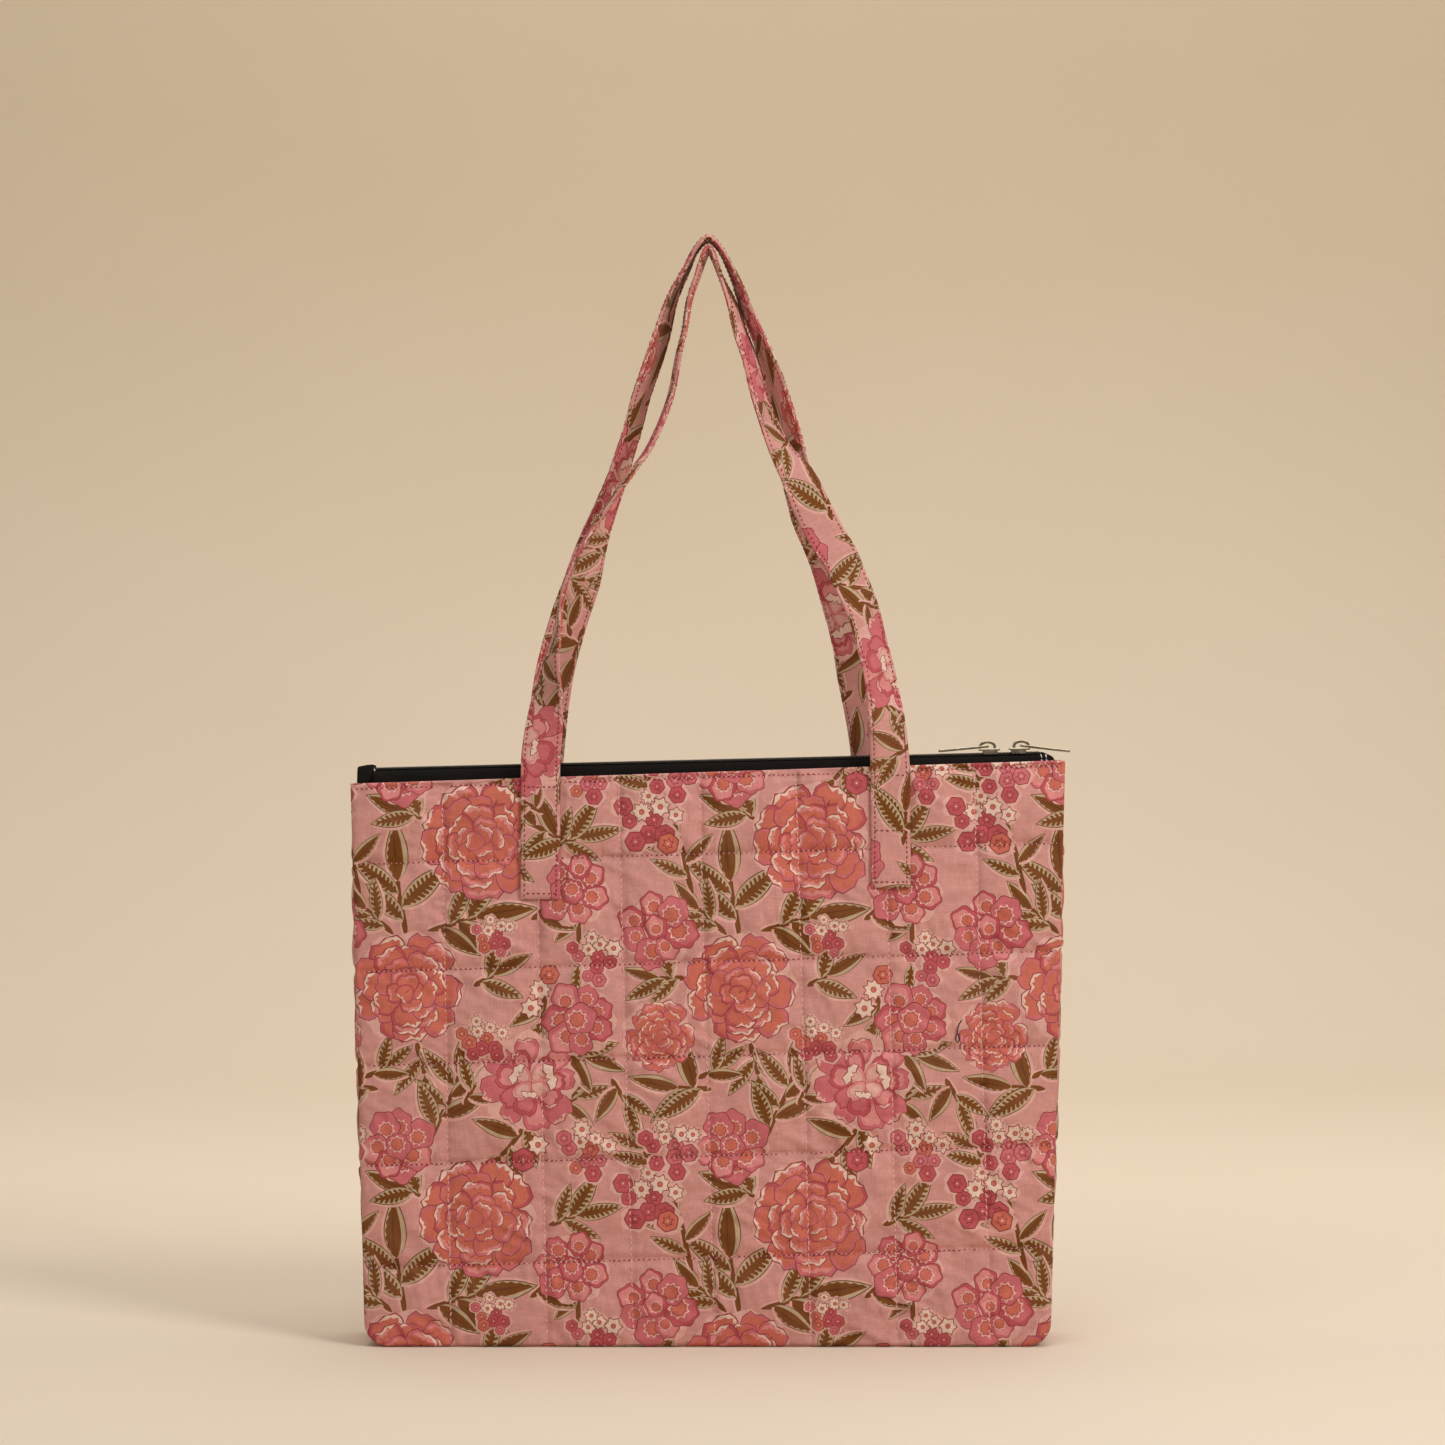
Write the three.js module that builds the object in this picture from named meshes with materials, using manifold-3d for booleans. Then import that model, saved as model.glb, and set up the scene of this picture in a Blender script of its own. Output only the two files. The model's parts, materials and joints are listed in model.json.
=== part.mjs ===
// Quilted cotton knitting bag with a zip along its top and two shoulder straps.
// Millimetres. The origin is the centre of the base's underside: +X right, -Y front, +Z up.
// Every layer of cloth is a closed slab of its own, and the two straps stand drawn up to a point.
import * as THREE from 'three';
import { mergeVertices } from 'three/addons/utils/BufferGeometryUtils.js';
import Module from 'manifold-3d';

const wasm = await Module();
wasm.setup();

// ---------------------------------------------------------------- driving dimensions

const GAP = 0.3;                    // air between two pieces that touch

const BASE_HALF_WIDTH = 186.2;
const TOP_HALF_WIDTH = 195;
const BASE_HALF_DEPTH = 27;
const TOP_HALF_DEPTH = 13.5;
const HEM_HEIGHT = 311;             // top edge, at the middle of the bag
const HEM_SLOPE = 0.0328;           // the top edge climbs to the right
const CORNER_RADIUS = 13;           // lower corners
const FACE_BELLY = 4;               // how far the middle of a face swells
const SIDE_BELLY = 2.5;             // how far the middle of a side strip swells

const OUTER_THICKNESS = 0.5;
const WADDING_THICKNESS = 3;
const LINING_THICKNESS = 0.4;
const WADDING_DEPTH = OUTER_THICKNESS + GAP;
const LINING_DEPTH = WADDING_DEPTH + WADDING_THICKNESS + GAP;
const WALL = LINING_DEPTH + LINING_THICKNESS;

const BINDING_WIDTH = 7;
const BINDING_THICKNESS = 2.2;
const BINDING_START = 0.06;         // share of the side seam left free for the zip tape

const CHAIN_HEIGHT = 315.9;         // top of the zip tape, at the middle of the bag
const CHAIN_SLOPE = 0.0243;
const CHAIN_LEFT = -181;
const CHAIN_RIGHT = 182;
const TAPE_THICKNESS = 0.6;
const TAPE_EDGE = 1;                // tape edge to the middle of the chain
const TAPE_FLAT = 4.8;              // flat part under the coil
const TAPE_SEAM = 8.4;              // where the tape hangs beside the lining
const TAPE_DROP = 6.5;
const TAPE_END = 13;
const COIL_CENTRE = 2;
const COIL_RADIUS = 1.2;
const COIL_HALF_HEIGHT = 1;
const TAIL_HALF_WIDTH = 7.8;
const TAIL_THICKNESS = 1.2;
const TAIL_ROUNDNESS = 1.6;         // 1 is a sharp ridge, 2 a round one
// Each folded tape end: where it ends, its ridge at the chain and at its end, and its foot.
const LEFT_TAIL = { end: -190, ridgeStart: 3.4, ridgeEnd: 3, foot: -8.2 };
const RIGHT_TAIL = { end: 189.6, ridgeStart: 1.7, ridgeEnd: -1.2, foot: -5.4 };

const SLIDER_HALF_LENGTH = 5.8;
const SLIDER_HEAD_HALF_WIDTH = 4.3;
const SLIDER_TAIL_HALF_WIDTH = 3.7;
const SLIDER_LEFT = 154.5;          // resting places along the chain
const SLIDER_RIGHT = 171;
const SLIDER_CORNER = 1.4;
const POST = { from: 2.6, to: 4.6, halfWidth: 0.5 };
const LIP = { from: -3.4, to: 4.4, inner: 3.5, outer: 4.2, drop: 1.9 };
const JOINED = 0.2;                 // how far joined parts of a casting run into each other
const CAST_EDGE = 0.2;              // bevel round a casting's edges
const PLATE_THICKNESS = 1;
const TOP_PLATE = 2.9;              // underside of the top plate, above the tape
const BOTTOM_PLATE = -2.2;          // underside of the bottom plate
const PIVOT_BACK = 1;               // pull pivot behind the slider's middle
const PIVOT_HEIGHT = 5.2;
const CROWN_HALF_LENGTH = 4.7;
const CROWN_HEIGHT = 3.1;           // above the pivot
const CROWN_BAR = 1.5;
const CROWN_WIDTH = 3;
const PULL_LENGTH = 27;
const PULL_THICKNESS = 1.3;
const PULL_HALF_WIDTH = 3.1;
const PULL_CORNER = 1.5;
const PULL_BAR = 0.65;              // half of the bar that the crown holds
const PULL_EYE = { end: -5.4, halfWidth: 2, corner: 0.8 };
const PULL_WINDOW = { end: -8, margin: 4.5, halfWidth: 1.4, corner: 1.1 };
const LEFT_PULL_TILT = 4;           // degrees down from the chain
const RIGHT_PULL_TILT = 8;

const STRAP_WIDTH = 21.5;
const STRAP_THICKNESS = 2.6;
const STRAP_STITCH_DROP = 4;        // sewn top line below the hem
const STRAP_END_LENGTH = 62;

// The free loops, each from its left sewn end over the top to its right one: x, y and z on the
// strap's middle line, and how far its face has turned from the panel (0) to edge-on (1).
const FRONT_LOOP = [
  [-91, -15.5, 304.3, 0], [-91, -15.5, 318, 0.02], [-89.5, -15.2, 333, 0.15], [-87.5, -15, 348, 0.36],
  [-85, -14.8, 371, 0.74], [-81.5, -14.4, 394, 0.92], [-77, -14, 416, 0.97], [-70, -13.8, 432, 0.95],
  [-60.5, -13.6, 448, 0.93], [-49.5, -13.2, 463, 0.93], [-40.5, -12, 475, 0.93], [-32, -9.2, 487, 0.93],
  [-23.5, -6.5, 507, 0.94], [-17.2, -4.6, 528, 0.95], [-14, -3, 548, 0.95], [-10.6, -1.5, 570, 0.96],
  [-6.4, -0.6, 585, 0.98], [-2.9, -0.1, 593.5, 1], [0.2, 0, 598, 1], [3.3, 0, 593.5, 1],
  [6.6, -0.4, 585, 0.97], [12.2, -1.5, 570, 0.88], [19.4, -3, 548, 0.78], [25, -4.6, 528, 0.75],
  [31.8, -6.2, 507, 0.72], [40.4, -8.2, 486, 0.6], [50.2, -9.8, 470, 0.3], [57.6, -10.8, 454, 0.16],
  [65.4, -11.6, 439, 0.16], [74, -12.4, 424, 0.22], [86, -13.6, 394, 0.38], [93.8, -14.6, 363, 0.4],
  [98, -15.2, 333, 0.18], [99.5, -15.5, 311.4, 0],
];
const BACK_LOOP = [
  [-91, 15.5, 304.8, 0], [-90.5, 15.5, 318, 0.02], [-87.5, 15, 348, 0.08], [-83.5, 14.2, 371, 0.12],
  [-77, 13.2, 394, 0.16], [-69.6, 12.2, 416, 0.26], [-62.8, 11.2, 439, 0.52], [-57, 10.6, 454, 0.64],
  [-51.4, 10, 470, 0.7], [-45.4, 7.6, 487, 0.74], [-39.6, 5.8, 507, 0.75], [-33, 4.2, 528, 0.75],
  [-26.8, 3, 548, 0.76], [-18.8, 1.5, 570, 0.88], [-12.4, 0.6, 586, 0.96], [-6.8, 0.1, 597, 1],
  [0.3, 0, 603, 1], [7.2, 0, 597, 1], [12.8, 0.4, 586, 0.96], [19.6, 1.5, 570, 0.88],
  [28.8, 3, 548, 0.84], [35, 4.4, 528, 0.68], [41.8, 6.4, 507, 0.62], [46.4, 8.2, 487, 0.55],
  [49.4, 9.2, 470, 0.46], [54, 10, 454, 0.42], [60.4, 10.8, 439, 0.38], [66.2, 11.6, 424, 0.34],
  [75.6, 12.8, 394, 0.28], [82, 14, 363, 0.2], [88, 15, 333, 0.08], [90.5, 15.5, 311.2, 0],
];
const LOOP_STEPS = 44;

// ---------------------------------------------------------------- materials

function cloth(hex, roughness = 0.92) {
  return () => new THREE.MeshStandardMaterial({ color: hex, roughness, metalness: 0 });
}

function metal(hex) {
  return () => new THREE.MeshStandardMaterial({ color: hex, roughness: 0.28, metalness: 1 });
}

const printedCotton = cloth(0xd79a8f);
const whiteWadding = cloth(0xece6da, 0.98);
const plainLining = cloth(0xe7d3bd);
const bindingCotton = cloth(0xc4737b);
const blackTape = cloth(0x17161a);
const blackNylon = cloth(0x0f0f12, 0.4);
const nickel = metal(0xc3c0b8);

// ---------------------------------------------------------------- general shapes

const lerp = THREE.MathUtils.lerp;

/** Evenly spaced numbers from a to b, both included. */
function steps(a, b, count) {
  return Array.from({ length: count + 1 }, (_, i) => lerp(a, b, i / count));
}

function signedVolume(geometry) {
  const p = geometry.attributes.position;
  const index = geometry.index;
  const corner = [new THREE.Vector3(), new THREE.Vector3(), new THREE.Vector3()];
  let volume = 0;
  for (let i = 0; i < index.count; i += 3) {
    corner.forEach((v, k) => v.fromBufferAttribute(p, index.getX(i + k)));
    volume += corner[0].dot(corner[1].cross(corner[2])) / 6;
  }
  return volume;
}

function reverseFaces(geometry) {
  const index = geometry.index;
  for (let i = 0; i < index.count; i += 3) {
    const second = index.getX(i + 1);
    index.setX(i + 1, index.getX(i + 2));
    index.setX(i + 2, second);
  }
}

/** Leaves a geometry with shared positions only. */
function bare(geometry) {
  const copy = geometry.clone();
  copy.deleteAttribute('normal');
  copy.deleteAttribute('uv');
  return mergeVertices(copy, 1e-4);
}

/** Creases a box's far side along the same diagonals as its near side, so bent layers nest. */
function matchDiagonals(box) {
  const index = box.index;
  const far = box.groups[5];
  for (let i = far.start; i < far.start + far.count; i += 6) {
    const [a, b, c, d] = [0, 1, 4, 2].map((k) => index.getX(i + k));
    [a, b, c, a, c, d].forEach((vertex, k) => index.setX(i + k, vertex));
  }
  return box;
}

/** A closed slab: a box whose grid lines, at the given stops, go where place(u, v, w) says. */
function slab(uStops, vStops, wStops, place) {
  const counts = [uStops, vStops, wStops].map((stops) => stops.length - 1);
  const geometry = bare(matchDiagonals(new THREE.BoxGeometry(1, 1, 1, ...counts)));
  const p = geometry.attributes.position;
  for (let i = 0; i < p.count; i += 1) {
    const u = uStops[Math.round((p.getX(i) + 0.5) * counts[0])];
    const v = vStops[Math.round((p.getY(i) + 0.5) * counts[1])];
    const w = wStops[Math.round((p.getZ(i) + 0.5) * counts[2])];
    p.setXYZ(i, ...place(u, v, w));
  }
  if (signedVolume(geometry) < 0) reverseFaces(geometry);
  geometry.computeVertexNormals();
  return geometry;
}

function solidOf(geometry) {
  const clean = bare(geometry);
  const vertProperties = new Float32Array(clean.attributes.position.array);
  const triVerts = new Uint32Array(clean.index.array);
  return new wasm.Manifold(new wasm.Mesh({ numProp: 3, vertProperties, triVerts }));
}

function geometryOf(solid) {
  const mesh = solid.getMesh();
  const geometry = new THREE.BufferGeometry();
  geometry.setAttribute('position', new THREE.BufferAttribute(mesh.vertProperties, 3));
  geometry.setIndex(new THREE.BufferAttribute(mesh.triVerts, 1));
  geometry.computeVertexNormals();
  return geometry;
}

function union(...geometries) {
  return geometryOf(geometries.map(solidOf).reduce((all, next) => all.add(next)));
}

function block(xRange, yRange, zRange) {
  const [x, y, z] = [xRange, yRange, zRange];
  const box = new THREE.BoxGeometry(x[1] - x[0], y[1] - y[0], z[1] - z[0]);
  return box.translate((x[0] + x[1]) / 2, (y[0] + y[1]) / 2, (z[0] + z[1]) / 2);
}

/** Extrudes a cross-section drawn in (y, z) along +X from start to end. */
function alongX(shape, start, end, options = {}) {
  const flat = new THREE.ExtrudeGeometry(shape, { depth: end - start, bevelEnabled: false, ...options });
  const turn = new THREE.Matrix4().makeBasis(
    new THREE.Vector3(0, 1, 0), new THREE.Vector3(0, 0, 1), new THREE.Vector3(1, 0, 0));
  return flat.applyMatrix4(turn).translate(start, 0, 0);
}

/** The outline of a bent strip of even thickness about a row of (y, z) points. */
function stripShape(points, thickness) {
  const line = points.map(([a, b]) => new THREE.Vector2(a, b));
  const offsets = line.map((point, i) => {
    const before = line[Math.max(i - 1, 0)];
    const after = line[Math.min(i + 1, line.length - 1)];
    const along = after.clone().sub(before).normalize();
    return new THREE.Vector2(-along.y, along.x).multiplyScalar(thickness / 2);
  });
  const above = line.map((point, i) => point.clone().add(offsets[i]));
  const below = line.map((point, i) => point.clone().sub(offsets[i])).reverse();
  return new THREE.Shape([...above, ...below]);
}

// ---------------------------------------------------------------- outline of the bag

const hemHeight = (x) => HEM_HEIGHT + HEM_SLOPE * x;
const halfDepth = (z) => lerp(BASE_HALF_DEPTH, TOP_HALF_DEPTH, z / HEM_HEIGHT);

/** Half the width of a face at a height, with the lower corners rounded. */
function halfWidth(z) {
  if (z > CORNER_RADIUS) {
    const share = (z - CORNER_RADIUS) / (HEM_HEIGHT - CORNER_RADIUS);
    return lerp(BASE_HALF_WIDTH, TOP_HALF_WIDTH, share);
  }
  const rise = CORNER_RADIUS - z;
  return BASE_HALF_WIDTH - CORNER_RADIUS + Math.sqrt(CORNER_RADIUS ** 2 - rise ** 2);
}

/** Swell of a face at u across (-1 to 1) and v up (0 to 1). */
const faceBelly = (u, v) => FACE_BELLY * Math.cos(u * Math.PI / 2) * Math.sin(v * Math.PI);

/** The rim that the side and base strips follow, seen from the front, from top left to top right. */
function makeRim() {
  const r = CORNER_RADIUS;
  const point = (x, z) => new THREE.Vector2(x, z);
  const corner = (x, start) => new THREE.EllipseCurve(x, r, r, r, start, start + Math.PI / 2);
  return [
    new THREE.LineCurve(point(-TOP_HALF_WIDTH, hemHeight(-TOP_HALF_WIDTH)), point(-BASE_HALF_WIDTH, r)),
    corner(-BASE_HALF_WIDTH + r, Math.PI),
    new THREE.LineCurve(point(-BASE_HALF_WIDTH + r, 0), point(BASE_HALF_WIDTH - r, 0)),
    corner(BASE_HALF_WIDTH - r, 1.5 * Math.PI),
    new THREE.LineCurve(point(BASE_HALF_WIDTH, r), point(TOP_HALF_WIDTH, hemHeight(TOP_HALF_WIDTH))),
  ];
}

const RIM = makeRim();              // side, corner, base, corner, side

/** A point on the rim, moved inwards by depth. The whole part of r is the curve it lies on. */
function rimPoint(r, depth) {
  const curve = Math.min(Math.floor(r), RIM.length - 1);
  const t = r - curve;
  const point = RIM[curve].getPoint(t);
  const along = RIM[curve].getTangent(t);
  const isSide = curve === 0 || curve === RIM.length - 1;
  return {
    x: point.x - along.y * depth,
    z: point.y + along.x * depth,
    surface: point.y,
    inward: [-along.y, along.x],
    swell: isSide ? SIDE_BELLY * Math.sin(t * Math.PI) : 0,
  };
}

// ---------------------------------------------------------------- cloth layers

const FACE_COLUMNS = steps(-1, 1, 8);
const FACE_ROWS = [0.001, 0.004, 0.0125, 0.025, 0.042, ...steps(0.2, 1, 5)];

/** One layer of the front (side -1) or back (side 1) face, from depth inwards. */
function faceLayer(side, depth, thickness) {
  return slab(FACE_COLUMNS, FACE_ROWS, [depth, depth + thickness], (u, v, inward) => {
    const z = v * hemHeight(u * TOP_HALF_WIDTH);
    const y = halfDepth(z) + faceBelly(u, v) - inward;
    return [u * halfWidth(z), side * y, z];
  });
}

/** One layer of the strip between the faces, along the rim stops given. */
function stripLayer(stops, depth, thickness) {
  return slab(stops, [-1, 0, 1], [depth, depth + thickness], (r, across, inward) => {
    const p = rimPoint(r, inward);
    const reach = halfDepth(p.surface) - WALL - GAP;
    const swell = p.swell * (1 - across ** 2);
    return [p.x - p.inward[0] * swell, across * reach, p.z - p.inward[1] * swell];
  });
}

const LEFT_CORNER_STOPS = steps(1.2, 1.992, 4);
const RIGHT_CORNER_STOPS = steps(3.008, 3.8, 4);
const LEFT_STOPS = [...steps(0, 1, 4), ...LEFT_CORNER_STOPS];
const BASE_STOPS = steps(2.0005, 2.9995, 2);
const RIGHT_STOPS = [...RIGHT_CORNER_STOPS, ...steps(4, 5, 4)];

/** Bias binding round the raw inside seam of a face, along both sides and the base. */
function seamBinding(side) {
  const stops = [
    ...steps(BINDING_START, 1, 3), ...LEFT_CORNER_STOPS, ...RIGHT_CORNER_STOPS,
    ...steps(4, 5 - BINDING_START, 3),
  ];
  const start = WALL + GAP;
  return slab(stops, [0, BINDING_THICKNESS], [start, start + BINDING_WIDTH], (r, away, inward) => {
    const p = rimPoint(r, inward);
    const y = halfDepth(p.z) - WALL - GAP - away;
    return [p.x, side * y, p.z];
  });
}

// ---------------------------------------------------------------- zip, in the chain's own frame

/** Half of the woven tape: flat under the coil, then down to the seam and along the lining. */
function zipTape(side) {
  const middle = -TAPE_THICKNESS / 2;
  const shape = stripShape([
    [side * TAPE_EDGE, middle], [side * TAPE_FLAT, middle],
    [side * TAPE_SEAM, -TAPE_DROP], [side * TAPE_SEAM, -TAPE_END],
  ], TAPE_THICKNESS);
  return alongX(shape, CHAIN_LEFT, CHAIN_RIGHT);
}

function zipCoil(side) {
  const shape = new THREE.Shape();
  shape.absellipse(side * COIL_CENTRE, GAP + COIL_HALF_HEIGHT, COIL_RADIUS, COIL_HALF_HEIGHT, 0, 2 * Math.PI);
  return alongX(shape, CHAIN_LEFT, CHAIN_RIGHT, { curveSegments: 8 });
}

/** A folded tape end: a tent over the end of the zip, from its ridge down behind the hem. */
function zipTail(start, { end, ridgeStart, ridgeEnd, foot }) {
  return slab(steps(0, 1, 2), steps(-1, 1, 6), [0, TAIL_THICKNESS], (u, across, inward) => {
    const ridge = lerp(ridgeStart, ridgeEnd, u);
    const drop = (ridge - foot) * Math.abs(across) ** TAIL_ROUNDNESS;
    const width = (TAIL_HALF_WIDTH - inward) * across;
    return [lerp(start, end, u), width, ridge - drop - inward * (1 - Math.abs(across))];
  });
}

/** A slider plate outline in (x, y), widest at the head (+X). */
function plateShape() {
  const shape = new THREE.Shape();
  const [l, head, tail] = [SLIDER_HALF_LENGTH, SLIDER_HEAD_HALF_WIDTH, SLIDER_TAIL_HALF_WIDTH];
  const round = SLIDER_CORNER;
  shape.moveTo(-l + round, -tail);
  shape.lineTo(l - round, -head);
  shape.quadraticCurveTo(l, -head, l, -head + round);
  shape.lineTo(l, head - round);
  shape.quadraticCurveTo(l, head, l - round, head);
  shape.lineTo(-l + round, tail);
  shape.quadraticCurveTo(-l, tail, -l, tail - round);
  shape.lineTo(-l, -tail + round);
  shape.quadraticCurveTo(-l, -tail, -l + round, -tail);
  return shape;
}

/** A flat shape as a casting of the depth given, with its edges bevelled. */
function cast(shape, depth, curveSegments) {
  const geometry = new THREE.ExtrudeGeometry(shape, {
    depth: depth - 2 * CAST_EDGE, curveSegments,
    bevelThickness: CAST_EDGE, bevelSize: CAST_EDGE, bevelOffset: -CAST_EDGE, bevelSegments: 1,
  });
  return geometry.translate(0, 0, CAST_EDGE);
}

const plate = (bottom) => cast(plateShape(), PLATE_THICKNESS, 3).translate(0, 0, bottom);

/** Two plates joined by the post that parts the coils, with a lip down each side of the top one. */
function sliderBody() {
  const roof = TOP_PLATE + JOINED;
  const post = block([POST.from, POST.to], [-POST.halfWidth, POST.halfWidth], [BOTTOM_PLATE + JOINED, roof]);
  const lips = [-1, 1].map((side) => {
    const edge = [side * LIP.inner, side * LIP.outer].sort((a, b) => a - b);
    return block([LIP.from, LIP.to], edge, [TOP_PLATE - LIP.drop, roof]);
  });
  return union(plate(BOTTOM_PLATE), plate(TOP_PLATE), post, ...lips);
}

/** Long low arch over the top plate, about the pull's pivot. */
function sliderCrown() {
  const foot = TOP_PLATE + PLATE_THICKNESS + GAP - PIVOT_HEIGHT;
  const [outer, inner] = [CROWN_HALF_LENGTH, CROWN_HALF_LENGTH - CROWN_BAR];
  const shape = new THREE.Shape();
  shape.moveTo(outer, foot);
  shape.lineTo(outer, 0);
  shape.absellipse(0, 0, outer, CROWN_HEIGHT, 0, Math.PI, false);
  shape.lineTo(-outer, foot);
  shape.lineTo(-inner, foot);
  shape.lineTo(-inner, 0);
  shape.absellipse(0, 0, inner, CROWN_HEIGHT - CROWN_BAR, Math.PI, 0, true);
  shape.lineTo(inner, foot);
  const arch = cast(shape, CROWN_WIDTH, 10).translate(0, 0, -CROWN_WIDTH / 2).rotateX(Math.PI / 2);
  return arch.translate(-PIVOT_BACK, 0, PIVOT_HEIGHT);
}

/** A rounded rectangle from x0 to x1, of the half-width given, as points round its outline. */
function roundedOutline(path, x0, x1, half, r) {
  path.moveTo(x0 + r, -half);
  path.lineTo(x1 - r, -half);
  path.absarc(x1 - r, -half + r, r, -Math.PI / 2, 0, false);
  path.lineTo(x1, half - r);
  path.absarc(x1 - r, half - r, r, 0, Math.PI / 2, false);
  path.lineTo(x0 + r, half);
  path.absarc(x0 + r, half - r, r, Math.PI / 2, Math.PI, false);
  path.lineTo(x0, -half + r);
  path.absarc(x0 + r, -half + r, r, Math.PI, 1.5 * Math.PI, false);
  return path;
}

/** Flat pull, lying back along -X from its pivot, with an eye for the crown and a long window. */
function sliderPull(tilt) {
  const { end: eyeEnd, halfWidth: eyeHalf, corner: eyeCorner } = PULL_EYE;
  const { end: windowEnd, margin, halfWidth: windowHalf, corner: windowCorner } = PULL_WINDOW;
  const shape = roundedOutline(new THREE.Shape(), -PULL_LENGTH, PULL_BAR, PULL_HALF_WIDTH, PULL_CORNER);
  shape.holes.push(
    roundedOutline(new THREE.Path(), eyeEnd, -PULL_BAR, eyeHalf, eyeCorner),
    roundedOutline(new THREE.Path(), -PULL_LENGTH + margin, windowEnd, windowHalf, windowCorner));
  const flat = cast(shape, PULL_THICKNESS, 3).translate(0, 0, -PULL_THICKNESS / 2);
  return flat.rotateY(-THREE.MathUtils.degToRad(tilt)).translate(-PIVOT_BACK, 0, PIVOT_HEIGHT);
}

// ---------------------------------------------------------------- straps

/** A strap end sewn flat on a face, from the stitched top line down. */
function strapEnd(side, centre) {
  const half = STRAP_WIDTH / 2;
  return slab(steps(-half, half, 2), steps(0, STRAP_END_LENGTH, 4), [0, STRAP_THICKNESS], (a, down, out) => {
    const x = centre + a;
    const z = hemHeight(centre) - STRAP_STITCH_DROP - down;
    const u = x / halfWidth(z);
    const y = halfDepth(z) + faceBelly(u, z / hemHeight(x)) + GAP + out;
    return [x, side * y, z];
  });
}

/** A free strap loop along its route. Its printed face starts on the outside of the bag. */
function strapLoop(side, route) {
  const curve = new THREE.CatmullRomCurve3(route.map(([x, y, z]) => new THREE.Vector3(x, y, z)));
  const turns = new THREE.CatmullRomCurve3(route.map((stop, i) => new THREE.Vector3(stop[3], i, 0)));
  const panelSide = new THREE.Vector3(0, side, 0);
  const across = STRAP_WIDTH / 2;
  const through = STRAP_THICKNESS / 2;
  return slab(steps(0, 1, LOOP_STEPS), [-across, across], [-through, through], (t, a, n) => {
    const centre = curve.getPoint(t);
    const along = curve.getTangent(t);
    const turn = turns.getPoint(t).x * Math.PI / 2;
    const outward = new THREE.Vector3(-along.z, 0, along.x).normalize();
    const normal = panelSide.clone().multiplyScalar(Math.cos(turn)).addScaledVector(outward, Math.sin(turn));
    normal.addScaledVector(along, -normal.dot(along)).normalize();
    const width = normal.clone().cross(along).normalize();
    return centre.addScaledVector(width, a).addScaledVector(normal, n).toArray();
  });
}

// ---------------------------------------------------------------- assembly

function piece(name, geometry, material) {
  const mesh = new THREE.Mesh(geometry, material());
  mesh.name = name;
  return mesh;
}

function layers(name, build) {
  return [
    piece(`${name}_outer`, build(0, OUTER_THICKNESS), printedCotton),
    piece(`${name}_wadding`, build(WADDING_DEPTH, WADDING_THICKNESS), whiteWadding),
    piece(`${name}_lining`, build(LINING_DEPTH, LINING_THICKNESS), plainLining),
  ];
}

function makeBody() {
  const body = new THREE.Group();
  body.add(...layers('front', (depth, thickness) => faceLayer(-1, depth, thickness)));
  body.add(...layers('back', (depth, thickness) => faceLayer(1, depth, thickness)));
  body.add(...layers('left_gusset', (depth, thickness) => stripLayer(LEFT_STOPS, depth, thickness)));
  body.add(...layers('right_gusset', (depth, thickness) => stripLayer(RIGHT_STOPS, depth, thickness)));
  body.add(...layers('base', (depth, thickness) => stripLayer(BASE_STOPS, depth, thickness)));
  body.add(piece('front_seam_binding', seamBinding(-1), bindingCotton));
  body.add(piece('back_seam_binding', seamBinding(1), bindingCotton));
  return body;
}

/** One slider at a place along the chain. turned faces its head to the left. */
function makeSlider(name, place, tilt, turned) {
  const slider = new THREE.Group();
  slider.add(piece(`${name}_body`, sliderBody(), nickel));
  slider.add(piece(`${name}_crown`, sliderCrown(), nickel));
  slider.add(piece(`${name}_pull`, sliderPull(tilt), nickel));
  slider.position.x = place;
  slider.rotation.z = turned ? Math.PI : 0;
  return slider;
}

function makeZip() {
  const zip = new THREE.Group();
  zip.add(piece('zip_tape_front', zipTape(-1), blackTape));
  zip.add(piece('zip_tape_back', zipTape(1), blackTape));
  zip.add(piece('zip_coil_front', zipCoil(-1), blackNylon));
  zip.add(piece('zip_coil_back', zipCoil(1), blackNylon));
  zip.add(piece('zip_tail_left', zipTail(CHAIN_LEFT - GAP, LEFT_TAIL), blackTape));
  zip.add(piece('zip_tail_right', zipTail(CHAIN_RIGHT + GAP, RIGHT_TAIL), blackTape));
  zip.add(makeSlider('left_slider', SLIDER_LEFT, LEFT_PULL_TILT, false));
  zip.add(makeSlider('right_slider', SLIDER_RIGHT, RIGHT_PULL_TILT, true));
  zip.position.z = CHAIN_HEIGHT;
  zip.rotation.y = -Math.atan(CHAIN_SLOPE);
  return zip;
}

function makeStraps() {
  const straps = new THREE.Group();
  for (const [name, side, route] of [['front', -1, FRONT_LOOP], ['back', 1, BACK_LOOP]]) {
    const places = { left: route[0][0], right: route[route.length - 1][0] };
    for (const [where, centre] of Object.entries(places)) {
      straps.add(piece(`${name}_strap_end_${where}`, strapEnd(side, centre), printedCotton));
    }
    straps.add(piece(`${name}_strap_loop`, strapLoop(side, route), printedCotton));
  }
  return straps;
}

const bag = new THREE.Group();
bag.add(makeBody(), makeZip(), makeStraps());
export default bag;
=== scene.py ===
"""A quilted knitting bag: block-printed cotton, a coil zip with two sliders, and two shoulder straps.

Metres. The origin is the centre of the base's underside: +X right, -Y front, +Z up.
Every printed piece is cut flat from one repeating print, then laid on its curved surface.
"""
import json
import math
import random

import bpy
import numpy as np
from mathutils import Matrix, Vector
from mathutils.geometry import delaunay_2d_cdt


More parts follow.
